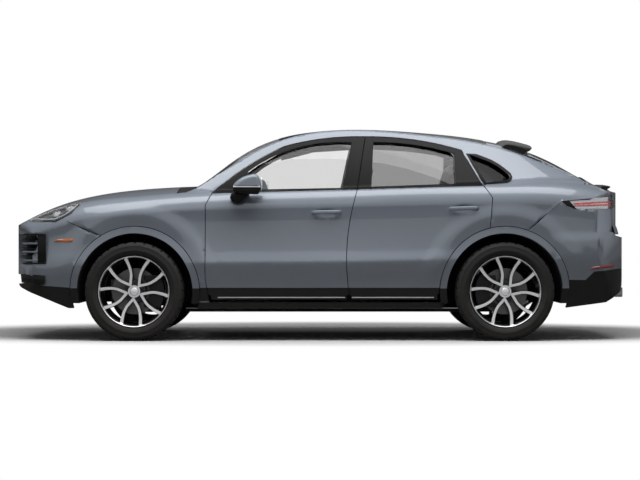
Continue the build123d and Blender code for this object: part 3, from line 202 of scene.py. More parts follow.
def ringFromProfile(bm, profile, steps, closed=True):
    # profile of (radius, outward) in mm, spun about the Y axis
    verts = [bm.verts.new((r * mm, w * mm, 0)) for r, w in profile]
    edges = [bm.edges.new(pair) for pair in zip(verts, verts[1:])]
    if closed:
        edges.append(bm.edges.new((verts[-1], verts[0])))
    bmesh.ops.spin(bm, geom=verts + edges, axis=(0, 1, 0), cent=(0, 0, 0), angle=2 * math.pi, steps=steps,
                   use_merge=True)
    bmesh.ops.remove_doubles(bm, verts=bm.verts, dist=1e-6)


def paintFaces(bm, index, test):
    for face in bm.faces:
        if test(face):
            face.material_index = index


def cutAcross(bm, point, normal):
    everything = bm.verts[:] + bm.edges[:] + bm.faces[:]
    bmesh.ops.bisect_plane(bm, geom=everything, dist=1e-6, plane_co=point, plane_no=normal)


def joinInto(bm, other):
    # adds a finished form to a piece that has more than one
    spare = bpy.data.meshes.new("spare")
    other.to_mesh(spare)
    other.free()
    bm.from_mesh(spare)
    bpy.data.meshes.remove(spare)


# shared finishes as node groups

def makeGrainGroup():
    group = bpy.data.node_groups.new("surfaceGrain", "ShaderNodeTree")
    face = group.interface
    for name, kind, value in (("Tint", "NodeSocketColor", (0.5, 0.5, 0.5, 1)),
                              ("Scale", "NodeSocketFloat", 200.0),
                              ("Drift", "NodeSocketFloat", 0.1), ("Rough", "NodeSocketFloat", 0.5),
                              ("RoughDrift", "NodeSocketFloat", 0.1)):
        face.new_socket(name, in_out="INPUT", socket_type=kind).default_value = value
    for name, kind in (("Color", "NodeSocketColor"), ("Roughness", "NodeSocketFloat"),
                       ("Height", "NodeSocketFloat")):
        face.new_socket(name, in_out="OUTPUT", socket_type=kind)
    add, link = group.nodes.new, group.links.new
    start, end = add("NodeGroupInput"), add("NodeGroupOutput")
    coords = add("ShaderNodeTexCoord")
    fine, broad = add("ShaderNodeTexNoise"), add("ShaderNodeTexNoise")
    fine.inputs["Detail"].default_value = 4
    broad.inputs["Scale"].default_value = 2.5
    broad.inputs["Detail"].default_value = 3
    link(coords.outputs["Object"], fine.inputs["Vector"])
    link(coords.outputs["Object"], broad.inputs["Vector"])
    link(start.outputs["Scale"], fine.inputs["Scale"])
    mixed = add("ShaderNodeMath")
    mixed.operation = "ADD"
    link(fine.outputs["Fac"], mixed.inputs[0])
    link(broad.outputs["Fac"], mixed.inputs[1])
    swing = add("ShaderNodeMath")
    swing.operation = "SUBTRACT"
    link(mixed.outputs[0], swing.inputs[0])
    swing.inputs[1].default_value = 1.0

    def scaled(amount, base):
        times, plus = add("ShaderNodeMath"), add("ShaderNodeMath")
        times.operation, plus.operation = "MULTIPLY", "ADD"
        link(swing.outputs[0], times.inputs[0])
        link(start.outputs[amount], times.inputs[1])
        link(times.outputs[0], plus.inputs[0])
        if isinstance(base, str):
            link(start.outputs[base], plus.inputs[1])
        else:
            plus.inputs[1].default_value = base
        return plus

    gain = scaled("Drift", 1.0)
    tint = add("ShaderNodeVectorMath")
    tint.operation = "SCALE"
    link(start.outputs["Tint"], tint.inputs[0])
    link(gain.outputs[0], tint.inputs["Scale"])
    link(tint.outputs[0], end.inputs["Color"])
    link(scaled("RoughDrift", "Rough").outputs[0], end.inputs["Roughness"])
    link(fine.outputs["Fac"], end.inputs["Height"])
    return group


def makeDustGroup():
    # a trace of road dust that fades out with height
    group = bpy.data.node_groups.new("roadDust", "ShaderNodeTree")
    face = group.interface
    face.new_socket("Color", in_out="INPUT", socket_type="NodeSocketColor")
    face.new_socket("Amount", in_out="INPUT", socket_type="NodeSocketFloat").default_value = 0.05
    face.new_socket("Top", in_out="INPUT", socket_type="NodeSocketFloat").default_value = 0.6
    face.new_socket("Color", in_out="OUTPUT", socket_type="NodeSocketColor")
    add, link = group.nodes.new, group.links.new
    start, end = add("NodeGroupInput"), add("NodeGroupOutput")
    coords, split = add("ShaderNodeTexCoord"), add("ShaderNodeSeparateXYZ")
    cloud = add("ShaderNodeTexNoise")
    cloud.inputs["Scale"].default_value = 18
    cloud.inputs["Detail"].default_value = 5
    link(coords.outputs["Object"], split.inputs[0])
    link(coords.outputs["Object"], cloud.inputs["Vector"])
    fade = add("ShaderNodeMapRange")
    fade.interpolation_type = "SMOOTHSTEP"
    fade.inputs["From Min"].default_value = 0.0
    fade.inputs["To Min"].default_value = 1.0
    fade.inputs["To Max"].default_value = 0.0
    link(split.outputs["Z"], fade.inputs["Value"])
    link(start.outputs["Top"], fade.inputs["From Max"])
    first, second = add("ShaderNodeMath"), add("ShaderNodeMath")
    first.operation = second.operation = "MULTIPLY"
    link(fade.outputs["Result"], first.inputs[0])
    link(cloud.outputs["Fac"], first.inputs[1])
    link(first.outputs[0], second.inputs[0])
    link(start.outputs["Amount"], second.inputs[1])
    mix = add("ShaderNodeMix")
    mix.data_type = "RGBA"
    link(second.outputs[0], mix.inputs["Factor"])
    link(start.outputs["Color"], mix.inputs["A"])
    mix.inputs["B"].default_value = (0.30, 0.27, 0.23, 1)
    link(mix.outputs["Result"], end.inputs["Color"])
    return group


grainGroup = makeGrainGroup()
dustGroup = makeDustGroup()


def finish(name, color, rough, metallic=0.0, scale=300.0, drift=0.08, roughDrift=0.06, bump=0.05, depth=0.0005,
           coat=0.0, coatRough=0.03, dust=0.0, dustTop=0.6, specular=0.5):
    mat = bpy.data.materials.new(name)
    mat.use_nodes = True
    tree = mat.node_tree
    shader = tree.nodes["Principled BSDF"]
    shader.inputs["Metallic"].default_value = metallic
    shader.inputs["Coat Weight"].default_value = coat
    shader.inputs["Coat Roughness"].default_value = coatRough
    shader.inputs["Specular IOR Level"].default_value = specular
    grain = tree.nodes.new("ShaderNodeGroup")
    grain.node_tree = grainGroup
    grain.inputs["Tint"].default_value = (*color, 1)
    grain.inputs["Scale"].default_value = scale
    grain.inputs["Drift"].default_value = drift
    grain.inputs["Rough"].default_value = rough
    grain.inputs["RoughDrift"].default_value = roughDrift
    link = tree.links.new
    tone = grain.outputs["Color"]
    if dust:
        dusty = tree.nodes.new("ShaderNodeGroup")
        dusty.node_tree = dustGroup
        dusty.inputs["Amount"].default_value = dust
        dusty.inputs["Top"].default_value = dustTop
        link(tone, dusty.inputs["Color"])
        tone = dusty.outputs["Color"]
    link(tone, shader.inputs["Base Color"])
    link(grain.outputs["Roughness"], shader.inputs["Roughness"])
    if bump:
        relief = tree.nodes.new("ShaderNodeBump")
        relief.inputs["Strength"].default_value = bump
        relief.inputs["Distance"].default_value = depth
        link(grain.outputs["Height"], relief.inputs["Height"])
        link(relief.outputs["Normal"], shader.inputs["Normal"])
    return mat


def glassFinish(name, color, rough=0.0, ior=1.45):
    mat = finish(name, color, rough, drift=0.03, roughDrift=0.01, bump=0.0, scale=6.0)
    shader = mat.node_tree.nodes["Principled BSDF"]
    shader.inputs["Transmission Weight"].default_value = 1.0
    shader.inputs["IOR"].default_value = ior
    return mat


paint = finish("silverBluePaint", (0.335, 0.383, 0.458), 0.40, metallic=0.12, scale=2600, drift=0.10,
               roughDrift=0.05, bump=0.03, depth=0.0002, coat=1.0, coatRough=0.03, dust=0.05, dustTop=0.7)
glossBlack = finish("glossBlack", (0.010, 0.010, 0.011), 0.26, scale=900, bump=0.02, specular=0.22)
frameBlack = finish("windowFrameBlack", (0.013, 0.013, 0.014), 0.36, scale=900, bump=0.04, specular=0.16)
grainedBlack = finish("grainedCladding", (0.028, 0.0275, 0.0265), 0.62, scale=1400, bump=0.35, depth=0.0004,
                      dust=0.10, specular=0.25)
rubber = finish("sealRubber", (0.010, 0.010, 0.010), 0.7, scale=500, bump=0.15, specular=0.2)
tyreRubber = finish("tyreRubber", (0.036, 0.036, 0.036), 0.62, scale=700, bump=0.3, depth=0.0006, dust=0.16,
                    dustTop=0.9, specular=0.25)
machined = finish("machinedAlloy", (0.93, 0.935, 0.945), 0.30, metallic=1.0, scale=1800, bump=0.05, coat=0.5)
wheelBlack = finish("wheelPocketBlack", (0.016, 0.016, 0.017), 0.30, scale=900, bump=0.03, coat=0.4)
discSteel = finish("discSteel", (0.13, 0.128, 0.126), 0.42, metallic=0.9, scale=250, drift=0.16, bump=0.1)
castMetal = finish("castMetal", (0.040, 0.040, 0.042), 0.55, metallic=0.5, scale=420, bump=0.25, specular=0.3)
plainMetal = finish("plainAluminium", (0.40, 0.41, 0.42), 0.42, metallic=1.0, scale=350, bump=0.15)
stainless = finish("stainlessSteel", (0.55, 0.55, 0.56), 0.22, metallic=1.0, scale=700, bump=0.06)
underCoat = finish("underbodyCoat", (0.020, 0.020, 0.021), 0.75, scale=260, bump=0.5, dust=0.2)
trimBlack = finish("softTrim", (0.020, 0.020, 0.022), 0.62, scale=900, bump=0.35, depth=0.0004, specular=0.3)
leather = finish("darkRedLeather", (0.105, 0.016, 0.020), 0.46, scale=420, drift=0.14, bump=0.4, depth=0.0006)
clearGlass = glassFinish("clearTintGlass", (0.85, 0.855, 0.85))
darkGlass = glassFinish("darkTintGlass", (0.53, 0.53, 0.53))
quarterGlass = glassFinish("quarterGlass", (0.10, 0.10, 0.105), ior=1.25)
lensClear = glassFinish("clearLens", (0.97, 0.975, 0.98), ior=1.2)
lensRed = finish("smokedRedLens", (0.20, 0.006, 0.010), 0.10, coat=1.0, scale=260, bump=0.1)
amberLens = finish("amberLens", (0.85, 0.21, 0.01), 0.22, coat=1.0, scale=320, bump=0.2)
redReflector = finish("redReflector", (0.55, 0.012, 0.022), 0.22, coat=1.0, scale=320, bump=0.2)
chrome = finish("brightMetal", (0.80, 0.80, 0.81), 0.10, metallic=1.0, scale=500, bump=0.02)
lampGrey = finish("lampReflector", (0.42, 0.42, 0.43), 0.28, metallic=0.9, scale=300, bump=0.05)
lampShade = finish("lampShade", (0.030, 0.031, 0.034), 0.24, metallic=0.3, scale=300, bump=0.05)
lampWhite = finish("lampDiffuser", (0.50, 0.52, 0.55), 0.20, coat=0.8, scale=500, bump=0.1)
print("finishes ready")


# smooth body form: sections of the lower body and the cabin, in mm

bodyForm = {
    "sillBottom": 252.0,
    "cabinFoot": 1080.0,
    "sideBulge": 16.0,
    "blend": 34.0,
    "cabinEnds": (-1060.0, 2330.0),
    "cabinFrom": 1090.0,              # height from which the cabin counts
    "undercut": 3.0,                  # how fast a section runs inwards past its end
    "waist": (0.45, 0.55),            # shares of crease and shoulder height
    "roll": 0.16,
    "axles": (-1450.0, 1445.0),
    "axleHeight": 386.0,
    "flareInner": 508.0,
    "flareCrest": 596.0,
    "flareOuter": 700.0,
    "flareHeight": 11.0,
    "flareFade": (430.0, 160.0),      # height at which the flare starts, and its run
    # steps of the skin above the door crease and on the rear bumper: depth, rise, fade below, ends along x
    "doorShelf": (13.0, 92.0, 190.0, (-945.0, -620.0, 940.0, 1080.0)),
    "tailShelf": (17.0, 95.0, 190.0, (1720.0, 2020.0, 2700.0, 2800.0)),
    "tailShelfHeight": 770.0,
    # normal steps: on the doors, added past them; doors' middle, half length and run along x; top and fade
    "creaseSoft": (9.0, 75.0, (60.0, 950.0, 260.0), (720.0, 60.0)),
    "handles": ((51.0, 1004.0), (1120.0, 1034.0)),
    "dishDepth": 13.0,
    "dishHalf": (96.0, 33.0),
}
# x, y at the sill, crease y z, shoulder y z, edge y z, crown z
bodySections = (
    (-2465, 720, 800, 560, 770, 760, 640, 868, 905),
    (-2200, 800, 872, 575, 838, 850, 690, 995, 1042),
    (-1850, 838, 922, 590, 890, 950, 735, 1092, 1150),
    (-1450, 862, 950, 600, 912, 1000, 775, 1133, 1205),
    (-900, 882, 958, 610, 928, 1022, 835, 1160, 1232),
    (100, 886, 962, 617, 938, 1035, 878, 1176, 1240),
    (900, 886, 965, 630, 948, 1050, 890, 1200, 1255),
    (1445, 876, 972, 640, 960, 1062, 888, 1215, 1265),
    (2000, 830, 935, 640, 925, 1045, 840, 1205, 1250),
    (2465, 760, 870, 620, 850, 980, 740, 1120, 1150),
)
# x, foot y, rail y z, crown z
cabinSections = (
    (-1060, 815, 775, 1150, 1205),
    (-720, 850, 722, 1362, 1428),
    (-400, 866, 660, 1545, 1600),
    (-60, 874, 618, 1640, 1672),
    (380, 880, 604, 1662, 1690),
    (900, 888, 598, 1616, 1662),
    (1440, 884, 590, 1524, 1585),
    (1900, 836, 592, 1352, 1425),
    (2330, 760, 610, 1160, 1215),
)


def splineThrough(xs, ys):
    xs, ys = np.array(xs, float), np.array(ys, float)
    count, gap = len(xs), np.diff(xs)
    system, right = np.eye(count), np.zeros(count)
    for i in range(1, count - 1):
        system[i, i - 1:i + 2] = gap[i - 1], 2 * (gap[i - 1] + gap[i]), gap[i]
        right[i] = 6 * ((ys[i + 1] - ys[i]) / gap[i] - (ys[i] - ys[i - 1]) / gap[i - 1])
    bend = np.linalg.solve(system, right)

    def at(x):
        x = np.clip(np.asarray(x, float), xs[0], xs[-1])
        i = np.clip(np.searchsorted(xs, x) - 1, 0, count - 2)
        before, after, h = x - xs[i], xs[i + 1] - x, gap[i]
        return ((bend[i] * after ** 3 + bend[i + 1] * before ** 3) / (6 * h)
                + (ys[i] / h - bend[i] * h / 6) * after + (ys[i + 1] / h - bend[i + 1] * h / 6) * before)

    return at


def linesThrough(sections):
    # one spline along x for each column after the first
    stations = [row[0] for row in sections]
    return [splineThrough(stations, [row[i] for row in sections]) for i in range(1, len(sections[0]))]


bodyLines = linesThrough(bodySections)
cabinLines = linesThrough(cabinSections)


def arcAt(p, q, r, z):
    # distance from the middle at height z on the circle through three (y, z) points
    (py, pz), (qy, qz), (ry, rz) = p, q, r
    d = 2 * (py * (qz - rz) + qy * (rz - pz) + ry * (pz - qz))
    d = np.where(np.abs(d) < 1e-6, 1e-6, d)
    pp, qq, rr = py ** 2 + pz ** 2, qy ** 2 + qz ** 2, ry ** 2 + rz ** 2
    uy = (pp * (qz - rz) + qq * (rz - pz) + rr * (pz - qz)) / d
    uz = (pp * (ry - qy) + qq * (py - ry) + rr * (qy - py)) / d
    radius = np.hypot(py - uy, pz - uz)
    return uy + np.sign(qy - uy) * np.sqrt(np.maximum(radius ** 2 - (z - uz) ** 2, 0))


def softMax(a, b, k):
    h = np.clip(0.5 + 0.5 * (a - b) / k, 0, 1)
    return b + (a - b) * h + k * h * (1 - h)


def easeIn(value):
    value = np.clip(value, 0, 1)
    return value * value * (3 - 2 * value)


def flare(x, z):
    rise = np.zeros_like(np.asarray(x, float))
    start, run = bodyForm["flareFade"]
    for axle in bodyForm["axles"]:
        r = np.hypot(x - axle, z - bodyForm["axleHeight"])
        inner = np.clip((r - bodyForm["flareInner"]) / (bodyForm["flareCrest"] - bodyForm["flareInner"]), 0, 1)
        outer = np.clip((bodyForm["flareOuter"] - r) / (bodyForm["flareOuter"] - bodyForm["flareCrest"]), 0, 1)
        bulge = np.minimum(np.sin(inner * math.pi / 2) ** 1.2, outer * outer * (3 - 2 * outer))
        rise = rise + bodyForm["flareHeight"] * bulge * np.clip((z - start) / run, 0, 1)
    return rise


def shelf(x, z, zCrease, name):
    depth, tall, fade, (a, b, c, d) = bodyForm[name]
    along = easeIn((x - a) / (b - a)) * easeIn((d - x) / (d - c))
    rise = np.where(z > zCrease, easeIn(1 - (z - zCrease) / tall), easeIn(1 - (zCrease - z) / fade))
    return depth * along * rise


def dish(x, z):
    sink = np.zeros_like(np.asarray(x, float))
    wide, tall = bodyForm["dishHalf"]
    for atX, atZ in bodyForm["handles"]:
        r = ((x - atX) / wide) ** 2 + ((z - atZ) / tall) ** 2
        sink = sink + bodyForm["dishDepth"] * np.clip(1 - r, 0, 1) ** 1.5
    return sink


def onCabin(x, value):
    # far away where the cabin ends
    start, end = bodyForm["cabinEnds"]
    return np.where((x < start) | (x > end), -1e4, value)


def flank(x, z):
    # outer side of body and cabin: distance from the middle at x and height z
    low, crease, zCrease, shoulder, zShoulder, edge, zEdge = [line(x) for line in bodyLines[:7]]
    foot, rail, zRail = [line(x) for line in cabinLines[:3]]
    sill, zFoot, undercut = bodyForm["sillBottom"], bodyForm["cabinFoot"], bodyForm["undercut"]
    (lowShare, highShare), roll = bodyForm["waist"], bodyForm["roll"]
    lower = low + (crease - low) * (z - sill) / (zCrease - sill)
    waist = (np.minimum(crease, shoulder) - 2, lowShare * zCrease + highShare * zShoulder)
    middle = arcAt((crease, zCrease), waist, (shoulder, zShoulder), np.minimum(z, zShoulder))
    bend = (0.5 * (shoulder + edge) + roll * (shoulder - edge),
            0.5 * (zShoulder + zEdge) + roll * (zEdge - zShoulder))
    upper = arcAt((shoulder, zShoulder), bend, (edge, zEdge), np.minimum(z, zEdge))
    upper = upper - np.maximum(z - zEdge, 0) * undercut
    body = np.where(z < zCrease, lower, np.where(z < zShoulder, middle, upper))
    bulge = (0.5 * (foot + rail) + bodyForm["sideBulge"], 0.5 * (zFoot + zRail))
    cabin = arcAt((foot, zFoot), bulge, (rail, zRail), np.clip(z, zFoot, zRail))
    cabin = cabin - np.maximum(z - zRail, 0) * undercut - np.maximum(zFoot - z, 0) * undercut
    cabin = onCabin(x, cabin)
    side = np.where(z > bodyForm["cabinFrom"], softMax(body, cabin, bodyForm["blend"]), body)
    steps = shelf(x, z, zCrease, "doorShelf") + shelf(x, z, bodyForm["tailShelfHeight"], "tailShelf")
    return side + flare(x, z) + steps - dish(x, z)


def crown(x, y):
    # top of hood, roof and deck at x and distance y from the middle
    edge, zEdge, zCrown = [line(x) for line in bodyLines[5:8]]
    rail, zRail, zRoof = [line(x) for line in cabinLines[1:4]]

    def cap(half, zSide, zTop):
        centre = (half ** 2 + zSide ** 2 - zTop ** 2) / (2 * (zSide - zTop))
        return centre + np.sqrt(np.maximum((zTop - centre) ** 2 - y ** 2, 0))

    return softMax(cap(edge, zEdge, zCrown), onCabin(x, cap(rail, zRail, zRoof)), bodyForm["blend"])


def flankNormal(x, z, side):
    # the crease stays sharp on the doors and softens past them, low down
    sharp, soft, (middle, half, run), (top, fade) = bodyForm["creaseSoft"]
    step = sharp + soft * easeIn((np.abs(x - middle) - half) / run) * easeIn((top - z) / fade)
    dx = (flank(x + step, z) - flank(x - step, z)) / (2 * step)
    dz = (flank(x, z + step) - flank(x, z - step)) / (2 * step)
    n = np.stack([-dx, side, -dz], axis=-1)
    return n / np.linalg.norm(n, axis=-1, keepdims=True)


def crownNormal(x, y, step=14.0):
    dx = (crown(x + step, y) - crown(x - step, y)) / (2 * step)
    dy = (crown(x, np.abs(y + step)) - crown(x, np.abs(y - step))) / (2 * step)
    n = np.stack([-dx, -dy, np.ones_like(dx)], axis=-1)
    return n / np.linalg.norm(n, axis=-1, keepdims=True)


def gapTo(co):
    # distance of points to the flank and to the crown, in mm
    x, y, z = co[:, 0] / mm, np.abs(co[:, 1]) / mm, co[:, 2] / mm
    dz = (flank(x, z + 3) - flank(x, z - 3)) / 6
    dy = (crown(x, y + 3) - crown(x, np.abs(y - 3))) / 6
    toFlank = (y - flank(x, z)) / np.sqrt(1 + dz * dz)
    toCrown = (z - crown(x, y)) / np.sqrt(1 + dy * dy)
    return toFlank, toCrown


def coordsOf(bm):
    return np.array([v.co for v in bm.verts], float).reshape(-1, 3)


def handleZone(v):
    # whether a point lies at a door handle
    x, z = v.co.x / mm, v.co.z / mm
    wide, tall = bodyForm["dishHalf"]
    return any(abs(x - atX) < wide + 30 and abs(z - atZ) < tall for atX, atZ in bodyForm["handles"])


layLook = {
    "passes": 7,
    "fineEdge": 0.016,                # longest edge at a door handle, in m
    "haunchFrom": 1200.0,             # x from which the second reach holds
    "endFade": 150.0,
    "leanFrom": 0.35,                 # how far a point has to face along the form, and the run to full weight
    "leanRun": 0.25,
    "outerLean": 0.55,
}
# hinge pins in the shut gaps stay on their axes, and on the body sides and fenders they are painted dark as
# painted shade in the gaps: ranges of x, distance from the middle and height
hingePins = {
    "front_fenders": ((-898.9, -892.0), (880.0, 961.0), (569.0, 661.0)),
    "body_sides": ((204.0, 210.0), (860.0, 961.0), (569.0, 661.0)),
    "roof_panel": ((1324.2, 1331.0), (-1.0, 121.0), (1590.0, 1606.0)),
}


def onPin(node, co):
    if node not in hingePins:
        return np.zeros(len(co), bool)
    inside = np.ones(len(co), bool)
    for values, (low, high) in zip((co[:, 0], np.abs(co[:, 1]), co[:, 2]), hingePins[node]):
        inside &= (values > low * mm) & (values < high * mm)
    return inside


def polish(name, node, materials, choose=None, cuts=(), forms=("flank",), lay=True, reach=(30.0, 30.0),
           longest=0.035, angle=32, shape=None, span=(-2300, 2300)):
    # a merged copy of a CAD panel, laid on the smooth body form and shaded from it
    # reach is how near to the form a point has to be, ahead of the haunch and behind it; span is where along x
    bm = bmesh.new()
    bm.from_mesh(nodes[node].data)
    bmesh.ops.remove_doubles(bm, verts=bm.verts, dist=2e-5)
    door = "_door_" in node and "window" not in node
    if door:
        # the plain grip comes off; a shaped one goes on later
        co = coordsOf(bm)
        x, z = co[:, 0] / mm, co[:, 2] / mm
        proudBy = np.abs(co[:, 1]) / mm - flank(x, z) - dish(x, z)
        bm.verts.index_update()
        grip = [v for v in bm.verts if handleZone(v) and proudBy[v.index] > 4]
        bmesh.ops.delete(bm, geom=grip, context="VERTS")
        bmesh.ops.holes_fill(bm, edges=[e for e in bm.edges if e.is_boundary])
    for point, normal in cuts:
        cutAcross(bm, point, normal)
    for _ in range(layLook["passes"] if lay and forms else 0):
        bm.verts.index_update()
        toFlank, toCrown = gapTo(coordsOf(bm))
        near = np.minimum(np.abs(toFlank) if "flank" in forms else 99,
                          np.abs(toCrown) if "crown" in forms else 99)
        longEdges = []
        for e in bm.edges:
            a, b = e.verts
            if near[a.index] < max(reach) and near[b.index] < max(reach):
                atHandle = door and handleZone(a) and handleZone(b)
                if e.calc_length() > (layLook["fineEdge"] if atHandle else longest):
                    longEdges.append(e)
        if not longEdges:
            break
        bmesh.ops.subdivide_edges(bm, edges=longEdges, cuts=1)
        bmesh.ops.triangulate(bm, faces=[f for f in bm.faces if len(f.verts) > 3])
    bmesh.ops.triangulate(bm, faces=[f for f in bm.faces if len(f.verts) > 3])
    mesh = bpy.data.meshes.new(name)
    bm.to_mesh(mesh)
    bm.free()

    count = len(mesh.vertices)
    co = np.zeros(count * 3, np.float32)
    mesh.vertices.foreach_get("co", co)
    co = co.reshape(-1, 3).astype(float)
    tris = np.zeros(len(mesh.polygons) * 3, np.int32)
    mesh.polygons.foreach_get("vertices", tris)
    tris = tris.reshape(-1, 3)
    flat = np.cross(co[tris[:, 1]] - co[tris[:, 0]], co[tris[:, 2]] - co[tris[:, 0]])
    lean = np.zeros((count, 3))
    for corner in range(3):
        np.add.at(lean, tris[:, corner], flat)
    lean /= np.maximum(np.linalg.norm(lean, axis=1, keepdims=True), 1e-12)
    flat /= np.maximum(np.linalg.norm(flat, axis=1, keepdims=True), 1e-12)
    x, y, z = co[:, 0] / mm, co[:, 1] / mm, co[:, 2] / mm
    side = np.where(y < 0, -1.0, 1.0)
    gaps = dict(zip(("flank", "crown"), gapTo(co)))
    total, move, tilt = np.zeros(count), np.zeros((count, 3)), np.zeros((count, 3))
    for form in forms:
        normal = flankNormal(x, z, side) if form == "flank" else crownNormal(x, y)
        local = np.where(x > layLook["haunchFrom"], reach[1], reach[0])
        facing = np.clip(((lean * normal).sum(1) - layLook["leanFrom"]) / layLook["leanRun"], 0, 1)
        weight = easeIn((local - np.abs(gaps[form])) / (local * 0.5))
        weight = weight * easeIn((x - span[0]) / layLook["endFade"])
        weight = weight * facing * easeIn((span[1] - x) / layLook["endFade"])
        weight = np.where(onPin(node, co), 0, weight)
        move -= (weight * gaps[form] * mm)[:, None] * normal
        total += weight
        tilt += weight[:, None] * normal
    if lay:
        co = co + move / np.maximum(total, 1)[:, None]
        mesh.vertices.foreach_set("co", co.astype(np.float32).ravel())
        mesh.update()
    if shape:
        co = shape(co)
        mesh.vertices.foreach_set("co", co.astype(np.float32).ravel())
        mesh.update()
    tilt /= np.maximum(np.linalg.norm(tilt, axis=1, keepdims=True), 1e-12)
    share = np.clip(total, 0, 1)
    outer = (share[tris] > 0.02).all(1) & ((flat * tilt[tris].mean(1)).sum(1) > layLook["outerLean"])
    for mat in materials:
        mesh.materials.append(mat)
    if choose:
        picked = choose(co[tris].mean(1), flat, outer)
        mesh.polygons.foreach_set("material_index", picked.astype(np.int32))
    mesh.shade_smooth()
    mesh.set_sharp_from_angle(angle=math.radians(angle))
    mesh.update()
    corners = np.zeros(len(mesh.loops) * 3, np.float32)
    mesh.corner_normals.foreach_get("vector", corners)
    corners = corners.reshape(-1, 3, 3)
    weight = share[tris[outer]][..., None]
    corners[outer] = corners[outer] * (1 - weight) + tilt[tris[outer]] * weight
    corners /= np.maximum(np.linalg.norm(corners, axis=2, keepdims=True), 1e-12)
    mesh.normals_split_custom_set(corners.reshape(-1, 3).tolist())
    piece = bpy.data.objects.new(name, mesh)
    scene.collection.objects.link(piece)
    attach(piece, bodyOf[node])
    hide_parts(node)
    return piece


makeStudio()

# body panels: colours split along the belt line and the top of the cladding

panelLook = {
    "beltFront": (-0.839, 1.153),
    "beltRear": (1.100, 1.207),
    "claddingTop": 0.415,
    "chin": ((-2.480, 0.520), (-2.376, 0.508), (-2.305, 0.457), (-2.153, 0.428), (-1.700, 0.396)),
    "archSplit": 0.410,
    "sillTop": 0.300,
    "valance": ((1.5, 0.476), (2.080, 0.476), (2.145, 0.542), (2.480, 0.572)),
    "ledge": (2.300, 0.050, 0.800, 0.034),     # rear bumper: start and run along x, lowest height, fall
    "footTop": 0.905,                          # tailgate: from here down its foot runs out by footOut
    "footOut": (0.050, 0.024, 2.220),
    "footFall": (2.285, 0.035, 0.870, 0.016),
    "footCut": 0.880,
}


def beltHeight(x):
    (x0, z0), (x1, z1) = panelLook["beltFront"], panelLook["beltRear"]
    return z0 + (x - x0) * (z1 - z0) / (x1 - x0)


def linePlane(p, q):
    return ((p[0], 0, p[1]), (p[1] - q[1], 0, q[0] - p[0]))


beltCut = linePlane(panelLook["beltFront"], panelLook["beltRear"])


def levelCut(z):
    return ((0, 0, z), (0, 0, 1))


def doorFinish(centre, flat, outer):
    inward = flat[:, 1] * np.sign(centre[:, 1]) < -0.35
    above = centre[:, 2] > beltHeight(centre[:, 0])
    below = centre[:, 2] < panelLook["claddingTop"]
    return np.where(inward, 3, np.where(above, 1, np.where(below, 2, 0)))


for end, hand in fourCorners:
    polish(f"{end}DoorPanel_{hand}", f"{end}_door_{hand}", (paint, frameBlack, grainedBlack, trimBlack),
           doorFinish, cuts=(beltCut, levelCut(panelLook["claddingTop"])))


def sideFinish(centre, flat, outer):
    sill = centre[:, 2] < panelLook["sillTop"]
    outward = flat[:, 1] * np.sign(centre[:, 1])
    inside = (outward < -0.3) | ((flat[:, 2] < -0.6) & (centre[:, 2] > 0.9))
    # faces well inside the skin and the hinge pins are dark trim: the black pillar between the doors, and
    # elsewhere painted shade in the shut gaps
    deep = np.abs(centre[:, 1]) / mm < flank(centre[:, 0] / mm, centre[:, 2] / mm) - 60
    dark = ((inside | deep) & ~outer) | onPin("body_sides", centre)
    return np.where(sill, 1, np.where(dark, 2, 0))


polish("bodySidePanels", "body_sides", (paint, grainedBlack, trimBlack), sideFinish,
       cuts=(levelCut(panelLook["sillTop"]),), reach=(22.0, 40.0))


def fenderFinish(centre, flat, outer):
    # below the cladding top the fender is grained plastic; its hinge pin in the shut gap is painted dark as
    # painted shade
    dark = (centre[:, 2] < panelLook["claddingTop"]) | onPin("front_fenders", centre)
    return np.where(dark, 1, 0)


polish("frontFenderPanels", "front_fenders", (paint, grainedBlack), fenderFinish,
       cuts=(levelCut(panelLook["claddingTop"]),))
polish("hoodPanel", "hood", (paint, trimBlack), lambda centre, flat, outer: np.where(flat[:, 2] < -0.2, 1, 0),
       forms=("crown",))


def slopeLedge(co):
    # the rear bumper's ledge falls away towards its outer edge
    start, run, lowest, fall = panelLook["ledge"]
    out = easeIn((co[:, 0] - start) / run) * (co[:, 2] > lowest) * (co[:, 0] > start)
    co[:, 2] -= fall * out
    return co


def flareFoot(co):
    # the tailgate's foot runs out onto the bumper
    tall, out, behind = panelLook["footOut"]
    start, run, below, fall = panelLook["footFall"]
    co[:, 0] += out * easeIn((panelLook["footTop"] - co[:, 2]) / tall) * (co[:, 0] > behind)
    co[:, 2] -= fall * easeIn((co[:, 0] - start) / run) * (co[:, 2] < below)
    return co


# bumpers: painted above a line of corners, grained below it
for name, node, line, shape in (("frontBumperSkin", "front_bumper", panelLook["chin"], None),
                                ("rearBumperSkin", "rear_bumper", panelLook["valance"], slopeLedge)):
    lineX, lineZ = zip(*line)
    polish(name, node, (paint, grainedBlack),
           lambda centre, flat, outer: np.where(centre[:, 2] < np.interp(centre[:, 0], lineX, lineZ), 1, 0),
           cuts=[linePlane(p, q) for p, q in zip(line, line[1:])], shape=shape)
polish("tailgatePanel", "tailgate", (paint, trimBlack),
       lambda centre, flat, outer: np.where(flat[:, 0] < -0.4, 1, 0),
       cuts=(levelCut(panelLook["footTop"]), levelCut(panelLook["footCut"])),
       forms=("crown",), shape=flareFoot, span=(1490, 2300))
polish("roofGlass", "roof_panel", (glossBlack, trimBlack),
       lambda centre, flat, outer: np.where(flat[:, 2] < -0.2, 1, 0), forms=("crown",))
polish("archTrimRings", "arch_trims", (paint, grainedBlack),
       lambda centre, flat, outer: np.where(centre[:, 2] < panelLook["archSplit"], 1, 0),
       cuts=(levelCut(panelLook["archSplit"]),), lay=False)
polish("cowlCover", "cowl", (grainedBlack,), forms=())
polish("windshieldGlass", "windshield", (clearGlass,), forms=("crown",), lay=False)
polish("rearGlass", "rear_window", (darkGlass,), forms=("crown",), lay=False)
polish("quarterGlassPair", "quarter_windows", (quarterGlass,), lay=False)
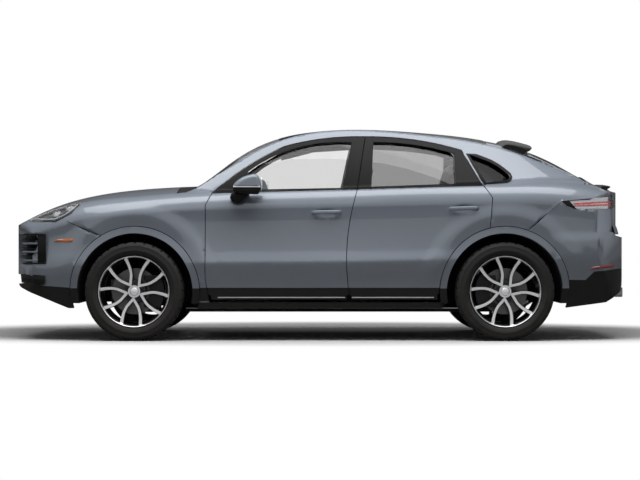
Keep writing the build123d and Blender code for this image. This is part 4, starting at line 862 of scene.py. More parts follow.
for hand, side in hands:
    polish(f"frontDoorGlass_{hand}", f"front_door_window_{hand}", (clearGlass,), lay=False)
    polish(f"rearDoorGlass_{hand}", f"rear_door_window_{hand}", (darkGlass,), lay=False)
for name, node, mat, slot in (
        ("tailLightBar", "light_bar", lensRed, "lens_red"),
        ("grilleSlats", "grille", glossBlack, "black_plastic"),
        ("floorPan", "floor_pan", underCoat, "steel"),
        ("frontAxleArms", "front_suspension", castMetal, "cast"),
        ("rearAxleArms", "rear_suspension", castMetal, "cast"),
        ("engineBlock", "engine", plainMetal, "aluminium"),
        ("exhaustSystem", "exhaust", stainless, "stainless"),
        ("dashboardPad", "dashboard", trimBlack, "dash")):
    polish(name, node, (mat,), forms=())
for end, hand in fourCorners:
    polish(f"{end}Upright_{hand}", f"{end}_knuckle_{hand}", (castMetal,), forms=())
print("panels laid on the body form")


# wheels: spoke pairs with machined faces, dark barrel, hub, bolts and brake disc

wheelLook = {
    "halfTrack": 843.0,
    "rimRadius": 284.0,
    "faceHeight": 104.0,
    "hubRadius": 50.0,
    "capRadius": 31.0,
    "spokePairs": 5,
    "firstAngle": 84.5,
    "spokeFrom": 40.0,                # distance from the axle, and length
    "spokeLength": 214.0,
    "bendFrom": 112.0,                # from here the two spokes of a pair part
    "bendLength": 142.0,
    "innerGap": 24.0,
    "rimGap": 79.0,
    "faceWidth": 20.0,
    "rimWidth": 31.0,
    "bevel": (1.5, 2.5),              # of the face's edges: across, down
    "flankSlope": 5.0,
    "depth": 36.0,
    "lugCircle": 65.0,
    "nutSunk": 21.0,                  # below the face
    "nut": (9.5, 8.5, 18.0),          # two radii and length
    "nutSeat": (13.0, 12.0, 8.0),
    "seatBehind": 7.0,
    "discRadius": 182.0,
    "steps": 96,
}


def addSpokes(bm):
    look = wheelLook
    (wide, down), slope, deep = look["bevel"], look["flankSlope"], look["depth"]
    stations, columns = 26, 6
    for pair in range(look["spokePairs"]):
        axis = math.radians(look["firstAngle"] + 360 / look["spokePairs"] * pair)
        for mirror in (-1, 1):
            new = bmesh.ops.create_grid(bm, x_segments=stations, y_segments=columns, size=1)["verts"]
            for v in new:
                u, column = (v.co.x + 1) / 2, round((v.co.y + 1) / 2 * columns)
                along = look["spokeFrom"] + look["spokeLength"] * u
                turn = min(max((along - look["bendFrom"]) / look["bendLength"], 0), 1)
                inner = look["innerGap"] + (look["rimGap"] - look["innerGap"]) * turn ** 1.7
                width = look["faceWidth"] + (look["rimWidth"] - look["faceWidth"]) * turn ** 2
                top = look["faceHeight"] - 5 + 6 * u ** 2
                outer = inner + width
                across, drop = ((inner - slope, deep), (inner - wide, down), (inner, 0),
                                (outer, 0), (outer + wide, down), (outer + slope, deep),
                                (inner - slope, deep))[column]
                across *= mirror
                v.co = Vector((along * math.cos(axis) - across * math.sin(axis), top - drop,
                               along * math.sin(axis) + across * math.cos(axis))) * mm
            bmesh.ops.remove_doubles(bm, verts=new, dist=1e-6)
    bmesh.ops.holes_fill(bm, edges=[e for e in bm.edges if e.is_boundary])
    bmesh.ops.recalc_face_normals(bm, faces=bm.faces)
    paintFaces(bm, 1, lambda f: f.normal.y <= 0.9 or f.calc_center_median().y <= 0.09)


def putOnAxle(bm, end, hand):
    # from its own middle, with the outside at +y, to its corner of the vehicle
    outward = dict(hands)[hand]
    place = Matrix.Translation((bodyForm["axles"][end == "rear"] * mm, outward * wheelLook["halfTrack"] * mm,
                                bodyForm["axleHeight"] * mm)) @ Matrix.Diagonal((1, outward, 1, 1))
    bmesh.ops.transform(bm, matrix=place, verts=bm.verts)
    bmesh.ops.recalc_face_normals(bm, faces=bm.faces)


def makeWheel(end, hand):
    look = wheelLook

    def placed(name, bm, materials, smooth, replaces=()):
        putOnAxle(bm, end, hand)
        wheel = f"{end}_wheel_{hand}"
        return makePiece(f"{name}_{end}_{hand}", bm, materials, wheel, smooth, replaces)

    bm = bmesh.new()
    addSpokes(bm)
    placed("wheelSpokes", bm, (machined, wheelBlack), 30, (f"{end}_wheel_{hand}",))

    rim = look["rimRadius"]
    bm = bmesh.new()
    ringFromProfile(bm, ((rim, 116), (rim, 123), (rim - 3, 125.5), (rim - 8, 125), (rim - 13, 121),
                         (rim - 16, 113), (rim - 20, 108), (rim - 23, 100), (rim - 27, 60), (rim - 36, 25),
                         (rim - 40, -60),
                         (rim - 34, -100), (rim - 18, -116), (rim - 8, -124), (rim, -123), (rim, -117),
                         (rim - 10, -112), (rim - 24, -94), (rim - 30, -60), (rim - 27, 25), (rim - 18, 64),
                         (rim - 10, 108)),
                    look["steps"])
    paintFaces(bm, 1, lambda f: True)
    paintFaces(bm, 0, lambda f: f.calc_center_median().y > 0.110
               and math.hypot(f.calc_center_median().x, f.calc_center_median().z) < (rim - 7) * mm)
    placed("wheelBarrel", bm, (machined, wheelBlack), 40)

    hub, cap, face = look["hubRadius"], look["capRadius"], look["faceHeight"]
    bm = bmesh.new()
    ringFromProfile(bm, ((0.0, face - 1), (cap * 0.6, face - 2), (cap - 2, face - 4), (cap, face - 6),
                         (cap + 0.5, face - 9), (cap + 2, face - 9), (cap + 3, face - 5), (hub - 3, face - 5),
                         (hub, face - 8), (hub + 4, face - 28), (88, face - 30), (92, face - 38),
                         (92, 30), (60, 16), (0.0, 16)), 60, closed=False)
    paintFaces(bm, 1, lambda f: True)
    paintFaces(bm, 0, lambda f: f.calc_center_median().y > (face - 8) * mm)
    placed("wheelHub", bm, (machined, wheelBlack), 35)

    bm = bmesh.new()
    for pair in range(look["spokePairs"]):
        axis = math.radians(look["firstAngle"] + 360 / look["spokePairs"] * pair)
        at = Vector((math.cos(axis), 0, math.sin(axis))) * look["lugCircle"] * mm
        turn = Matrix.Rotation(-math.pi / 2, 4, "X")
        turn = Matrix.Translation(at + Vector((0, (face - look["nutSunk"]) * mm, 0))) @ turn
        for part, sides, behind in (("nut", 6, 0), ("nutSeat", 20, look["seatBehind"])):
            foot, top, length = look[part]
            bmesh.ops.create_cone(bm, cap_ends=True, segments=sides, radius1=foot * mm, radius2=top * mm,
                                  depth=length * mm, matrix=Matrix.Translation((0, -behind * mm, 0)) @ turn)
    placed("wheelBolts", bm, (castMetal,), 30)

    disc = look["discRadius"]
    bm = bmesh.new()
    ringFromProfile(bm, ((96, 13), (disc - 1, 13), (disc, 12), (disc, 4), (disc - 8, 3), (disc - 8, -5),
                         (disc, -6), (disc, -15), (disc - 1, -16), (96, -16), (96, -4), (86, 16), (78, 18),
                         (78, 22), (90, 20)), 90)
    placed("brakeDisc", bm, (discSteel,), 30)


for end, hand in fourCorners:
    makeWheel(end, hand)
print("wheels ready")


# tyres: grooved tread with cut blocks and ribbed sidewalls

tyreLook = {
    "radius": 386.0,
    "steps": 132,
    "grooveDepth": 7.0,
    "slotDepth": 5.0,
    "slotEdge": 1.2,
    "grooves": (22.0, 66.0),
    "grooveWidth": 9.0,
    "crownDrop": 2.4,                 # how far the tread falls towards its edges
    "slotEvery": 4,
    "shoulderSlots": (71.0, 122.0, 372.0),     # from, to and least radius
    "ribSlots": (27.0, 60.0, 380.0),
    # radius and distance from the middle, bead to tread edge
    "sidewall": ((270.0, 106.0), (277.0, 117.0), (284.5, 122.0), (288.0, 127.5), (296.0, 131.0),
                 (300.0, 134.5), (316.0, 137.0), (318.0, 138.0), (322.0, 138.0), (324.0, 137.3),
                 (340.0, 135.8), (352.0, 132.6), (354.0, 133.0), (358.0, 131.4), (366.0, 125.5),
                 (374.5, 118.5), (380.5, 111.0), (383.5, 102.0)),
    "inside": ((266.0, -100.0), (262.0, 0.0), (266.0, 100.0)),
}


def makeTyre(end, hand):
    look = tyreLook
    top, depth = look["radius"], look["grooveDepth"]
    right = list(look["sidewall"])
    for groove in sorted(look["grooves"], reverse=True):
        lift = top - look["crownDrop"] * (groove / 110) ** 2
        wide = look["grooveWidth"] / 2
        right += [(lift - 0.5, groove + wide + 1), (lift - depth, groove + wide - 1.5),
                  (lift - depth, groove - wide + 1.5), (lift, groove - wide - 1)]
    left = [(r, -w) for r, w in reversed(right)]
    bm = bmesh.new()
    ringFromProfile(bm, right + left + list(look["inside"]), look["steps"])
    bmesh.ops.recalc_face_normals(bm, faces=bm.faces)

    def isSlot(f):
        middle = f.calc_center_median()
        r, w = math.hypot(middle.x, middle.z) / mm, abs(middle.y) / mm
        turn = math.atan2(middle.z, middle.x) / (2 * math.pi)
        count = round(turn * look["steps"] - 0.5) % look["slotEvery"]

        def within(zone):
            start, end, least = look[zone]
            return start < w < end and r > least

        if within("shoulderSlots") and count == 0:
            return True
        return within("ribSlots") and count == (2 if middle.y > 0 else 3)

    cut = [f for f in bm.faces if isSlot(f)]
    bmesh.ops.inset_individual(bm, faces=cut, thickness=look["slotEdge"] * mm, depth=-look["slotDepth"] * mm)
    putOnAxle(bm, end, hand)
    makePiece(f"tyre_{end}_{hand}", bm, (tyreRubber,), f"{end}_wheel_{hand}", 35,
              (f"{end}_tyre_{hand}",))


for end, hand in fourCorners:
    makeTyre(end, hand)
print("tyres ready")


# helpers for the shaped pieces; sizes in mm

def gridForm(bm, rows, columns, place):
    # a grid with its vertices put at place(row, column)
    new = bmesh.ops.create_grid(bm, x_segments=rows, y_segments=columns, size=1)["verts"]
    for v in new:
        v.co = Vector(place(round((v.co.x + 1) / 2 * rows), round((v.co.y + 1) / 2 * columns))) * mm
    return new


def closeForm(bm):
    bmesh.ops.remove_doubles(bm, verts=bm.verts, dist=1e-5)
    bmesh.ops.holes_fill(bm, edges=[e for e in bm.edges if e.is_boundary])
    bmesh.ops.recalc_face_normals(bm, faces=bm.faces)


def surfaceOf(*names):
    # the surface of pieces or CAD nodes, for ray casts
    bm = bmesh.new()
    for name in names:
        bm.from_mesh((nodes.get(name) or bpy.data.objects[name]).data)
    tree = BVHTree.FromBMesh(bm)
    bm.free()
    return tree


def sideHit(tree, x, z, side):
    # where a level line from the side first meets a surface, or the body form if there is none
    at = tree and tree.ray_cast(Vector((x, side * 2000, z)) * mm, Vector((0, -side, 0)))[0]
    return at.y / mm if at else side * float(flank(np.array(float(x)), np.array(float(z))))


def alongLine(points, t):
    # a place on a line through points, t from 0 to 1
    points = np.array(points, float)
    steps = np.concatenate(([0], np.cumsum(np.linalg.norm(np.diff(points, axis=0), axis=1))))
    return np.array([np.interp(t * steps[-1], steps, points[:, i]) for i in range(points.shape[1])])


def slab(bm, outline, near, far, side, rounding=0.0, segments=5, keep=lambda a, b: False):
    # an outline in the side view, extruded outwards from near to far, with its outer rim rounded
    verts = [bm.verts.new((x * mm, side * near * mm, z * mm)) for x, z in outline]
    grown = bmesh.ops.extrude_face_region(bm, geom=[bm.faces.new(verts)], use_keep_orig=True)["geom"]
    moved = [g for g in grown if isinstance(g, bmesh.types.BMVert)]
    bmesh.ops.translate(bm, verts=moved, vec=(0, side * (far - near) * mm, 0))
    if rounding:
        rim = {e for v in moved for e in v.link_edges if e.verts[0] in moved and e.verts[1] in moved
               and not keep(e.verts[0].co, e.verts[1].co)}
        bmesh.ops.bevel(bm, geom=list(rim), offset=rounding * mm, segments=segments, profile=0.5,
                        affect="EDGES", material=-1, clamp_overlap=True)
    bmesh.ops.recalc_face_normals(bm, faces=bm.faces)


def tube(bm, place, rows, columns, radius, flatten=1.0):
    # a closed tube along place(t), which gives a point and the direction to its outside
    def put(i, j):
        at, outward = place(i / rows)
        ahead, behind = place(min(i / rows + 0.01, 1))[0], place(max(i / rows - 0.01, 0))[0]
        along = Vector(ahead - behind).normalized()
        across = along.cross(Vector(outward)).normalized()
        turn = 2 * math.pi * j / columns
        sideways = across * radius * math.cos(turn)
        return Vector(at) + sideways + across.cross(along) * radius * flatten * math.sin(turn)

    gridForm(bm, rows, columns, put)
    closeForm(bm)


# door mirrors: painted cap, bright band, black shell on a foot, silvered glass

mirrorLook = {
    "cap": ((-676, 1208), (-662, 1231), (-634, 1255), (-600, 1276), (-556, 1292), (-512, 1301), (-490, 1297),
            (-473, 1280), (-462, 1250), (-456, 1208)),
    "band": ((-673, 1194), (-673, 1207), (-459, 1207), (-460, 1194)),
    "shell": ((-677, 1192), (-460, 1192), (-466, 1166), (-482, 1144), (-552, 1146), (-610, 1150), (-668, 1162)),
    "foot": ((-692, 1152), (-610, 1166), (-552, 1146), (-612, 1078), (-648, 1072), (-686, 1088), (-702, 1118)),
    "reach": (928.0, 1086.0),
    "footReach": (862.0, 982.0),
    "glassHalf": (56.0, 60.0),
    "glassAt": (-455.0, 985.0, 1222.0),
    "capFoot": 1.2085,                # below this the cap's rim stays sharp, in m
    "capRounding": 46.0,
    "shellRounding": 30.0,
    "footRounding": 16.0,
}


def makeMirror(hand, side):
    look = mirrorLook
    near, far = look["reach"]
    body = f"front_door_{hand}"
    bm = bmesh.new()
    slab(bm, look["cap"], near, far, side, look["capRounding"], 7,
         keep=lambda a, b: max(a.z, b.z) < look["capFoot"])
    makePiece(f"mirrorCap_{hand}", bm, (paint,), body, 50, (f"mirror_{hand}",))
    bm = bmesh.new()
    slab(bm, look["band"], near + 4, far - 5, side, look["shellRounding"])
    makePiece(f"mirrorBand_{hand}", bm, (chrome,), body, 50)
    bm = bmesh.new()
    slab(bm, look["shell"], near, far - 9, side, look["shellRounding"])
    footNear, footFar = look["footReach"]
    slab(bm, look["foot"], footNear, footFar, side, look["footRounding"], 4)
    makePiece(f"mirrorShell_{hand}", bm, (frameBlack,), body, 45)
    bm = bmesh.new()
    ring = bmesh.ops.create_circle(bm, cap_ends=True, segments=40, radius=1)["verts"]
    (wide, tall), (atX, atY, atZ) = look["glassHalf"], look["glassAt"]
    for v in ring:
        across, up = [math.copysign(abs(c) ** 0.55, c) for c in (v.co.x, v.co.y)]
        v.co = Vector((atX, side * (atY + wide * across), atZ + tall * up)) * mm
    rim = bmesh.ops.extrude_face_region(bm, geom=bm.faces[:], use_keep_orig=True)["geom"]
    bmesh.ops.translate(bm, verts=[g for g in rim if isinstance(g, bmesh.types.BMVert)], vec=(3 * mm, 0, 0))
    bmesh.ops.recalc_face_normals(bm, faces=bm.faces)
    makePiece(f"mirrorGlass_{hand}", bm, (chrome,), body, 30)


# door grips: a bar that stands off over a dish

gripLook = {
    "halfLength": 116.0,
    "standOff": 22.0,
    "halfHeight": 16.0,
    "halfThick": 7.0,
    "tilt": 2.5,
}


def makeGrip(end, hand, side):
    look = gripLook
    atX, atZ = bodyForm["handles"][end == "rear"]
    rows, columns = 30, 16

    def put(i, j):
        u = 2 * i / rows - 1
        x, z = atX + u * look["halfLength"], atZ + u * look["tilt"]
        skin = float(flank(np.array(x), np.array(z)) + dish(np.array(x), np.array(z)))
        stand = look["standOff"] * (1 - u ** 8) - 4
        turn = 2 * math.pi * j / columns
        tall = look["halfHeight"] * (1 - 0.30 * u ** 4)
        out = skin + stand + look["halfThick"] * math.copysign(abs(math.cos(turn)) ** 0.7, math.cos(turn))
        return x, side * out, z + tall * math.copysign(abs(math.sin(turn)) ** 0.8, math.sin(turn))

    bm = bmesh.new()
    gridForm(bm, rows, columns, put)
    closeForm(bm)
    makePiece(f"doorGrip_{end}_{hand}", bm, (paint,), f"{end}_door_{hand}", 60)


for hand, side in hands:
    makeMirror(hand, side)
    for end in ("front", "rear"):
        makeGrip(end, hand, side)
print("mirrors and door grips ready")


# roof spoiler blade and deck lip

spoilerLook = {
    "blade": ((1456, 1586), (1476, 1604), (1502, 1611), (1530, 1612), (1580, 1605), (1640, 1591), (1700, 1575),
              (1714, 1569), (1720, 1561), (1712, 1552), (1688, 1541), (1640, 1530), (1580, 1526), (1520, 1530),
              (1480, 1540), (1458, 1558)),
    "halfWidth": 545.0,
    "drop": 60.0,
    "tuck": 0.22,                     # how far the ends draw in
    "lip": ((2234, 1196), (2240, 1226), (2262, 1244), (2300, 1243), (2340, 1236), (2342, 1229), (2318, 1219),
            (2296, 1190)),
    "lipHalfWidth": 600.0,
    "lipDrop": 26.0,
    "lipTuck": 0.3,
}


def makeBlade(name, profile, halfWidth, drop, tuck, mat, replaces=()):
    rows = 40
    nose = min(x for x, z in profile)

    def put(i, j):
        u = 2 * i / rows - 1
        x, z = profile[j % len(profile)]
        return nose + (x - nose) * (1 - tuck * u ** 6), u * halfWidth, z - drop * u * u

    bm = bmesh.new()
    gridForm(bm, rows, len(profile), put)
    closeForm(bm)
    makePiece(name, bm, (mat,), "tailgate", 34, replaces)


makeBlade("roofSpoilerBlade", spoilerLook["blade"], spoilerLook["halfWidth"], spoilerLook["drop"],
          spoilerLook["tuck"], glossBlack, ("spoilers",))
makeBlade("deckLip", spoilerLook["lip"], spoilerLook["lipHalfWidth"], spoilerLook["lipDrop"],
          spoilerLook["lipTuck"], glossBlack)


# side markers, reflectors, quarter window borders, intake parts, seams and door strips

sideLook = {
    "marker": ((-2088, 772), (-2064, 796), (-1919, 800), (-1939, 769)),
    "reflector": ((2104, 552), (2135, 578), (2331, 602), (2313, 570)),
    "quarterFrame": ((1304, 1240), (1262, 1317), (1220, 1393), (1178, 1470), (1238, 1452), (1296, 1430),
                     (1350, 1408), (1402, 1378), (1450, 1342), (1494, 1302), (1500, 1286), (1492, 1268),
                     (1470, 1256), (1387, 1248)),
    "frameWidth": 23.0,
    "proud": 6.0,
    "intakeProud": 5.0,
    "noseBand": 560.0,                # height of whole bumper skin between the intakes
    "intakeEdge": ((-2214, 606), (-2214, 834), (-2146, 828), (-2146, 612)),
    "intakeTop": ((-2350, 824), (-2350, 838), (-2146, 838), (-2146, 824)),
    "intakeFoot": ((-2350, 598), (-2350, 610), (-2146, 612), (-2146, 600)),
    "lowerInlet": ((-2366, 452), (-2378, 526), (-2156, 508), (-2156, 434)),
    "slats": (626.0, 694.0, 760.0),
    "slatEnds": (-2352.0, -2170.0),
    "slatSunk": 9.0,
    "slatRadius": 8.0,
    "seams": (((-1738, 829), (-1820, 864), (-1900, 899), (-1984, 935)),
              ((1630, 870), (1710, 941), (1790, 1012), (1874, 1087))),
    "seamRadius": 3.2,
    "archSeam": (509.8, 410.0),       # radius about the axle, height of both ends
    "archSeamRadius": 2.7,
    "strips": (("front", -800.0, 196.0), ("rear", 250.0, 890.0)),
    "stripHeight": 338.0,
    "stripRadius": 5.0,
}


def sidePatch(name, corners, tree, side, mat, skinAt=None):
    # a thin plate on the skin; skinAt gives one height at which the skin is measured
    rows, columns = 18, 4
    proud = sideLook["intakeProud" if skinAt else "proud"]
    a, b, c, d = [np.array(p, float) for p in corners]

    def put(i, j):
        u, v = i / rows, j / columns
        x, z = (a * (1 - u) + d * u) * (1 - v) + (b * (1 - u) + c * u) * v
        edge = min(min(u, 1 - u) * rows, min(v, 1 - v) * columns, 1)
        return x, sideHit(tree, x, skinAt or z, side) + side * (proud * edge - 1), z

    bm = bmesh.new()
    gridForm(bm, rows, columns, put)
    bmesh.ops.recalc_face_normals(bm, faces=bm.faces)
    if sum(f.normal.y for f in bm.faces) * side < 0:
        bmesh.ops.reverse_faces(bm, faces=bm.faces)
    bmesh.ops.solidify(bm, geom=bm.faces[:], thickness=4 * mm)
    bmesh.ops.recalc_face_normals(bm, faces=bm.faces)
    makePiece(name, bm, (mat,), "body", 40)


def makeQuarterFrame(hand, side):
    line = np.array(sideLook["quarterFrame"], float)
    middle = line.mean(0)
    count = len(line)
    ahead, behind = np.roll(line, -1, 0), np.roll(line, 1, 0)
    out = np.stack([ahead[:, 1] - behind[:, 1], behind[:, 0] - ahead[:, 0]], 1)
    out /= np.linalg.norm(out, axis=1, keepdims=True)
    out *= np.sign(((line - middle) * out).sum(1, keepdims=True))

    def put(i, j):
        x, z = line[i % count] + out[i % count] * (sideLook["frameWidth"] * j / 2 - 3)
        return x, side * (float(flank(np.array(x), np.array(z))) + (1.6 if j == 1 else 0.8)), z

    bm = bmesh.new()
    gridForm(bm, count, 2, put)
    bmesh.ops.remove_doubles(bm, verts=bm.verts, dist=1e-5)
    bmesh.ops.recalc_face_normals(bm, faces=bm.faces)
    if sum(f.normal.y for f in bm.faces) * side < 0:
        bmesh.ops.reverse_faces(bm, faces=bm.faces)
    bmesh.ops.solidify(bm, geom=bm.faces[:], thickness=5 * mm)
    bmesh.ops.recalc_face_normals(bm, faces=bm.faces)
    makePiece(f"quarterFrame_{hand}", bm, (frameBlack,), "body", 40)


frontSkin, rearSkin = surfaceOf("frontBumperSkin", "frontFenderPanels"), surfaceOf("rearBumperSkin")
for hand, side in hands:
    sidePatch(f"sideMarker_{hand}", sideLook["marker"], frontSkin, side, amberLens)
    sidePatch(f"rearReflector_{hand}", sideLook["reflector"], rearSkin, side, redReflector)
    makeQuarterFrame(hand, side)
    for part in ("Edge", "Top", "Foot"):
        sidePatch(f"intakeFrame{part}_{hand}", sideLook[f"intake{part}"], frontSkin, side, glossBlack,
                  sideLook["noseBand"])
    sidePatch(f"lowerInlet_{hand}", sideLook["lowerInlet"], frontSkin, side, glossBlack,
              sideLook["noseBand"])

    def slatAt(t):
        start, end = sideLook["slatEnds"]
        x = start + (end - start) * t
        y = sideHit(frontSkin, x, sideLook["noseBand"], side) - side * sideLook["slatSunk"]
        return np.array((x, y, slatZ)), (0, side, 0)

    bm = bmesh.new()
    for slatZ in sideLook["slats"]:
        tube(bm, slatAt, 16, 8, sideLook["slatRadius"])
    makePiece(f"intakeSlats_{hand}", bm, (paint,), "body", 60)

    def seamAt(t):
        x, z = alongLine(seam, t)
        return np.array((x, side * (float(flank(np.array(x), np.array(z))) - 1.5), z)), (0, side, 0)

    def archSeamAt(t):
        radius, low = sideLook["archSeam"]
        start = math.asin((low - bodyForm["axleHeight"]) / radius)
        turn = start + (math.pi - 2 * start) * t
        x, z = axle + radius * math.cos(turn), bodyForm["axleHeight"] + radius * math.sin(turn)
        return np.array((x, side * (float(flank(np.array(x), np.array(z))) + 1.0), z)), (0, side, 0)

    bm = bmesh.new()
    for seam in sideLook["seams"]:
        tube(bm, seamAt, 24, 6, sideLook["seamRadius"])
    for axle in bodyForm["axles"]:
        tube(bm, archSeamAt, 96, 6, sideLook["archSeamRadius"])
    makePiece(f"bumperSeams_{hand}", bm, (rubber,), "body", 60)

    for end, start, stop in sideLook["strips"]:
        skin = surfaceOf(f"{end}DoorPanel_{hand}")

        def stripAt(t):
            x, z = start + (stop - start) * t, sideLook["stripHeight"]
            return np.array((x, sideHit(skin, x, z, side) + side * 1.0, z)), (0, side, 0)

        bm = bmesh.new()
        tube(bm, stripAt, 20, 8, sideLook["stripRadius"], 0.8)
        makePiece(f"sillStrip_{end}_{hand}", bm, (plainMetal,), f"{end}_door_{hand}", 60)
print("spoilers, markers, seams and strips ready")


# lamps: dark bucket, inner plate with light units, clear cover

lampLook = {
    "coverThick": 3.0,
    "plateDepth": 24.0,
    "tailPlateDepth": 20.0,
    "units": ((-2095, 992, 36.0), (-1995, 1036, 32.0)),       # x, z, radius
    "unitAim": (-0.62, 0.76, 0.20),
    "unitSunk": 22.0,
    "dayLine": ((-2262, 954), (-2180, 950), (-2085, 951), (-2010, 984), (-1956, 1022), (-1912, 1066)),
    "daySunk": 13.0,
    "dayRadius": 4.5,
    "tailBars": (((1985, 1071), (2090, 1077), (2200, 1083), (2290, 1088)),
                 ((1992, 1055), (2090, 1058), (2200, 1062), (2290, 1066))),
    "barSunk": 11.0,
    "barRadius": 6.0,
    "tailTip": ((1.950, 1.091), (1.998, 1.037)),              # ahead of this line the cover is black
}


def lampParts(node, isOuter):
    # the lamp's solid split into its bucket and its outer skin
    bucket = bmesh.new()
    bucket.from_mesh(nodes[node].data)
    bmesh.ops.remove_doubles(bucket, verts=bucket.verts, dist=2e-5)
    skin = bucket.copy()
    bmesh.ops.delete(bucket, geom=[f for f in bucket.faces if isOuter(f)], context="FACES")
    bmesh.ops.delete(skin, geom=[f for f in skin.faces if not isOuter(f)], context="FACES")
    skin.normal_update()
    return bucket, skin


def sunkSkin(skin, depth):
    # a copy of the skin, moved inwards
    inner = skin.copy()
    inner.normal_update()
    for v, move in [(v, v.normal * depth * mm) for v in inner.verts]:
        v.co -= move
    return inner


def headOuter(f):
    # faces that look ahead, out or up
    lean = Vector((-0.5, 0.75 * (1 if f.calc_center_median().y > 0 else -1), 0.45))
    return (f.normal.dot(lean) > 0.25 and abs(f.normal.y) > 0.08) or f.normal.z > 0.6


def tailOuter(f):
    # faces that look back or out
    lean = Vector((0.6, 0.7 * (1 if f.calc_center_median().y > 0 else -1), 0.1))
    return f.normal.dot(lean) > 0.3 and abs(f.normal.z) < 0.75


bucket, skin = lampParts("headlamps", headOuter)
makePiece("headlampBuckets", bucket, (glossBlack,), "body", 30, ("headlamps",))
makePiece("headlampPlates", sunkSkin(skin, lampLook["plateDepth"]), (lampShade,), "body", 40)
cover = skin.copy()
bmesh.ops.solidify(cover, geom=cover.faces[:], thickness=lampLook["coverThick"] * mm)
makePiece("headlampCovers", cover, (lensClear,), "body", 40)
skin.free()

lampSkin = surfaceOf("headlamps")
for hand, side in hands:
    bm = bmesh.new()
    for x, z, radius in lampLook["units"]:
        unit = bmesh.new()
        ringFromProfile(unit, ((radius, -30), (radius, 0), (radius - 2, 3), (radius - 6, 3), (radius - 9, -4),
                               (radius - 10, -16)), 40, closed=False)
        ring = set(unit.faces)
        ringFromProfile(unit, ((radius - 9, -6), (radius - 13, 0), (radius - 20, 4.5), (radius * 0.2, 7),
                               (0.0, 7.4)), 40, closed=False)
        for f in unit.faces:
            if f not in ring:
                f.material_index = 1
        ahead, out, up = lampLook["unitAim"]
        aim = Vector((ahead, side * out, up)).normalized()
        at = Vector((x, sideHit(lampSkin, x, z, side), z)) - aim * lampLook["unitSunk"]
        turn = Vector((0, 1, 0)).rotation_difference(aim).to_matrix().to_4x4()
        bmesh.ops.transform(unit, matrix=Matrix.Translation(at * mm) @ turn, verts=unit.verts)
        bmesh.ops.recalc_face_normals(unit, faces=unit.faces)
        joinInto(bm, unit)
    makePiece(f"headlampUnits_{hand}", bm, (lampGrey, lampWhite), "body", 35)

    def dayAt(t):
        x, z = alongLine(lampLook["dayLine"], t)
        return np.array((x, sideHit(lampSkin, x, z, side) - side * lampLook["daySunk"], z)), (0, side, 0)

    bm = bmesh.new()
    tube(bm, dayAt, 60, 10, lampLook["dayRadius"])
    makePiece(f"headlampDayLine_{hand}", bm, (lampWhite,), "body", 60)

bucket, skin = lampParts("tail_lamps", tailOuter)
makePiece("tailLampBuckets", bucket, (glossBlack,), "body", 30, ("tail_lamps",))
plate = sunkSkin(skin, lampLook["tailPlateDepth"])
tipCut = linePlane(*lampLook["tailTip"])
for sheet in (plate, skin):
    cutAcross(sheet, *tipCut)
makePiece("tailLampPlates", plate, (lampGrey,), "body", 40)
(tipX, tipZ), (endX, endZ) = lampLook["tailTip"]
paintFaces(skin, 1, lambda f: (f.calc_center_median().x - tipX) * (tipZ - endZ)
           < (tipZ - f.calc_center_median().z) * (endX - tipX))
bmesh.ops.solidify(skin, geom=skin.faces[:], thickness=lampLook["coverThick"] * mm)
makePiece("tailLampCovers", skin, (lensClear, glossBlack), "body", 40)
tailSkin = surfaceOf("tail_lamps")
for hand, side in hands:
    bm = bmesh.new()
    for line in lampLook["tailBars"]:
        def barAt(t):
            x, z = alongLine(line, t)
            return np.array((x, sideHit(tailSkin, x, z, side) - side * lampLook["barSunk"], z)), (0, side, 0)

        bar = bmesh.new()
        tube(bar, barAt, 48, 10, lampLook["barRadius"])
        joinInto(bm, bar)
    makePiece(f"tailLampBars_{hand}", bm, (redReflector,), "body", 60)
print("lamps ready")


# seats: crowned pads swollen by a short cloth simulation, with sewn channels, on plain bases

seatLook = {
    "cushion": ((-272, 556), (-120, 546), (60, 538), (222, 532), (240, 580), (238, 632), (150, 662), (0, 668),
                (-150, 674), (-280, 678), (-300, 645), (-298, 605)),
    "back": ((124, 630), (180, 616), (232, 612), (300, 800), (366, 1000), (430, 1186), (424, 1208),
             (398, 1220), (362, 1216), (336, 1202), (282, 1030), (232, 880), (196, 800), (160, 720)),
    "headrest": ((360, 1210), (395, 1196), (421, 1192), (452, 1290), (480, 1386), (470, 1400), (450, 1404),
                 (424, 1398), (406, 1386), (382, 1300)),
    "frontShift": -60.0,
    "rearShift": 670.0,
    "frontMiddle": 375.0,
    "rearMiddles": (("left", -400), ("middle", 0), ("right", 400)),
    # half widths
    "cushionHalf": 250.0,
    "backHalf": 240.0,
    "headrestHalf": 118.0,
    "benchHalf": 612.0,
    "benchBackHalf": 600.0,
    # sewn lines: along x on cushions, along z on backs, along y on both
    "cushionLines": (-170, -60, 50),
    "backLines": (760, 890, 1020),
    "edgeLines": (160, -160),
    "benchLines": (-170, -30),
    "benchBackLines": (800, 980),
    "benchEdgeLines": (-210, 210),
    "voxel": 10.0,
    "pressure": 4.0,
    "swellCap": 24.0,
    "frames": 20,
    "fill": 0.75,
    "bolster": 15.0,
    "benchBolster": 6.0,
    "channelDepth": 6.0,
    "channelWidth": 9.0,
    "base": (-30.0, 468.0, 440.0, 170.0),      # shift along x, height of its middle, length, height
    "baseHalf": 205.0,
    "benchBaseHalf": 570.0,
    "baseRounding": 20.0,
    "posts": (404.0, 1205.0, (-45.0, 45.0), 15.0),     # shift along x, height, sides, lean in degrees
    "postSize": (6.0, 120.0),
}


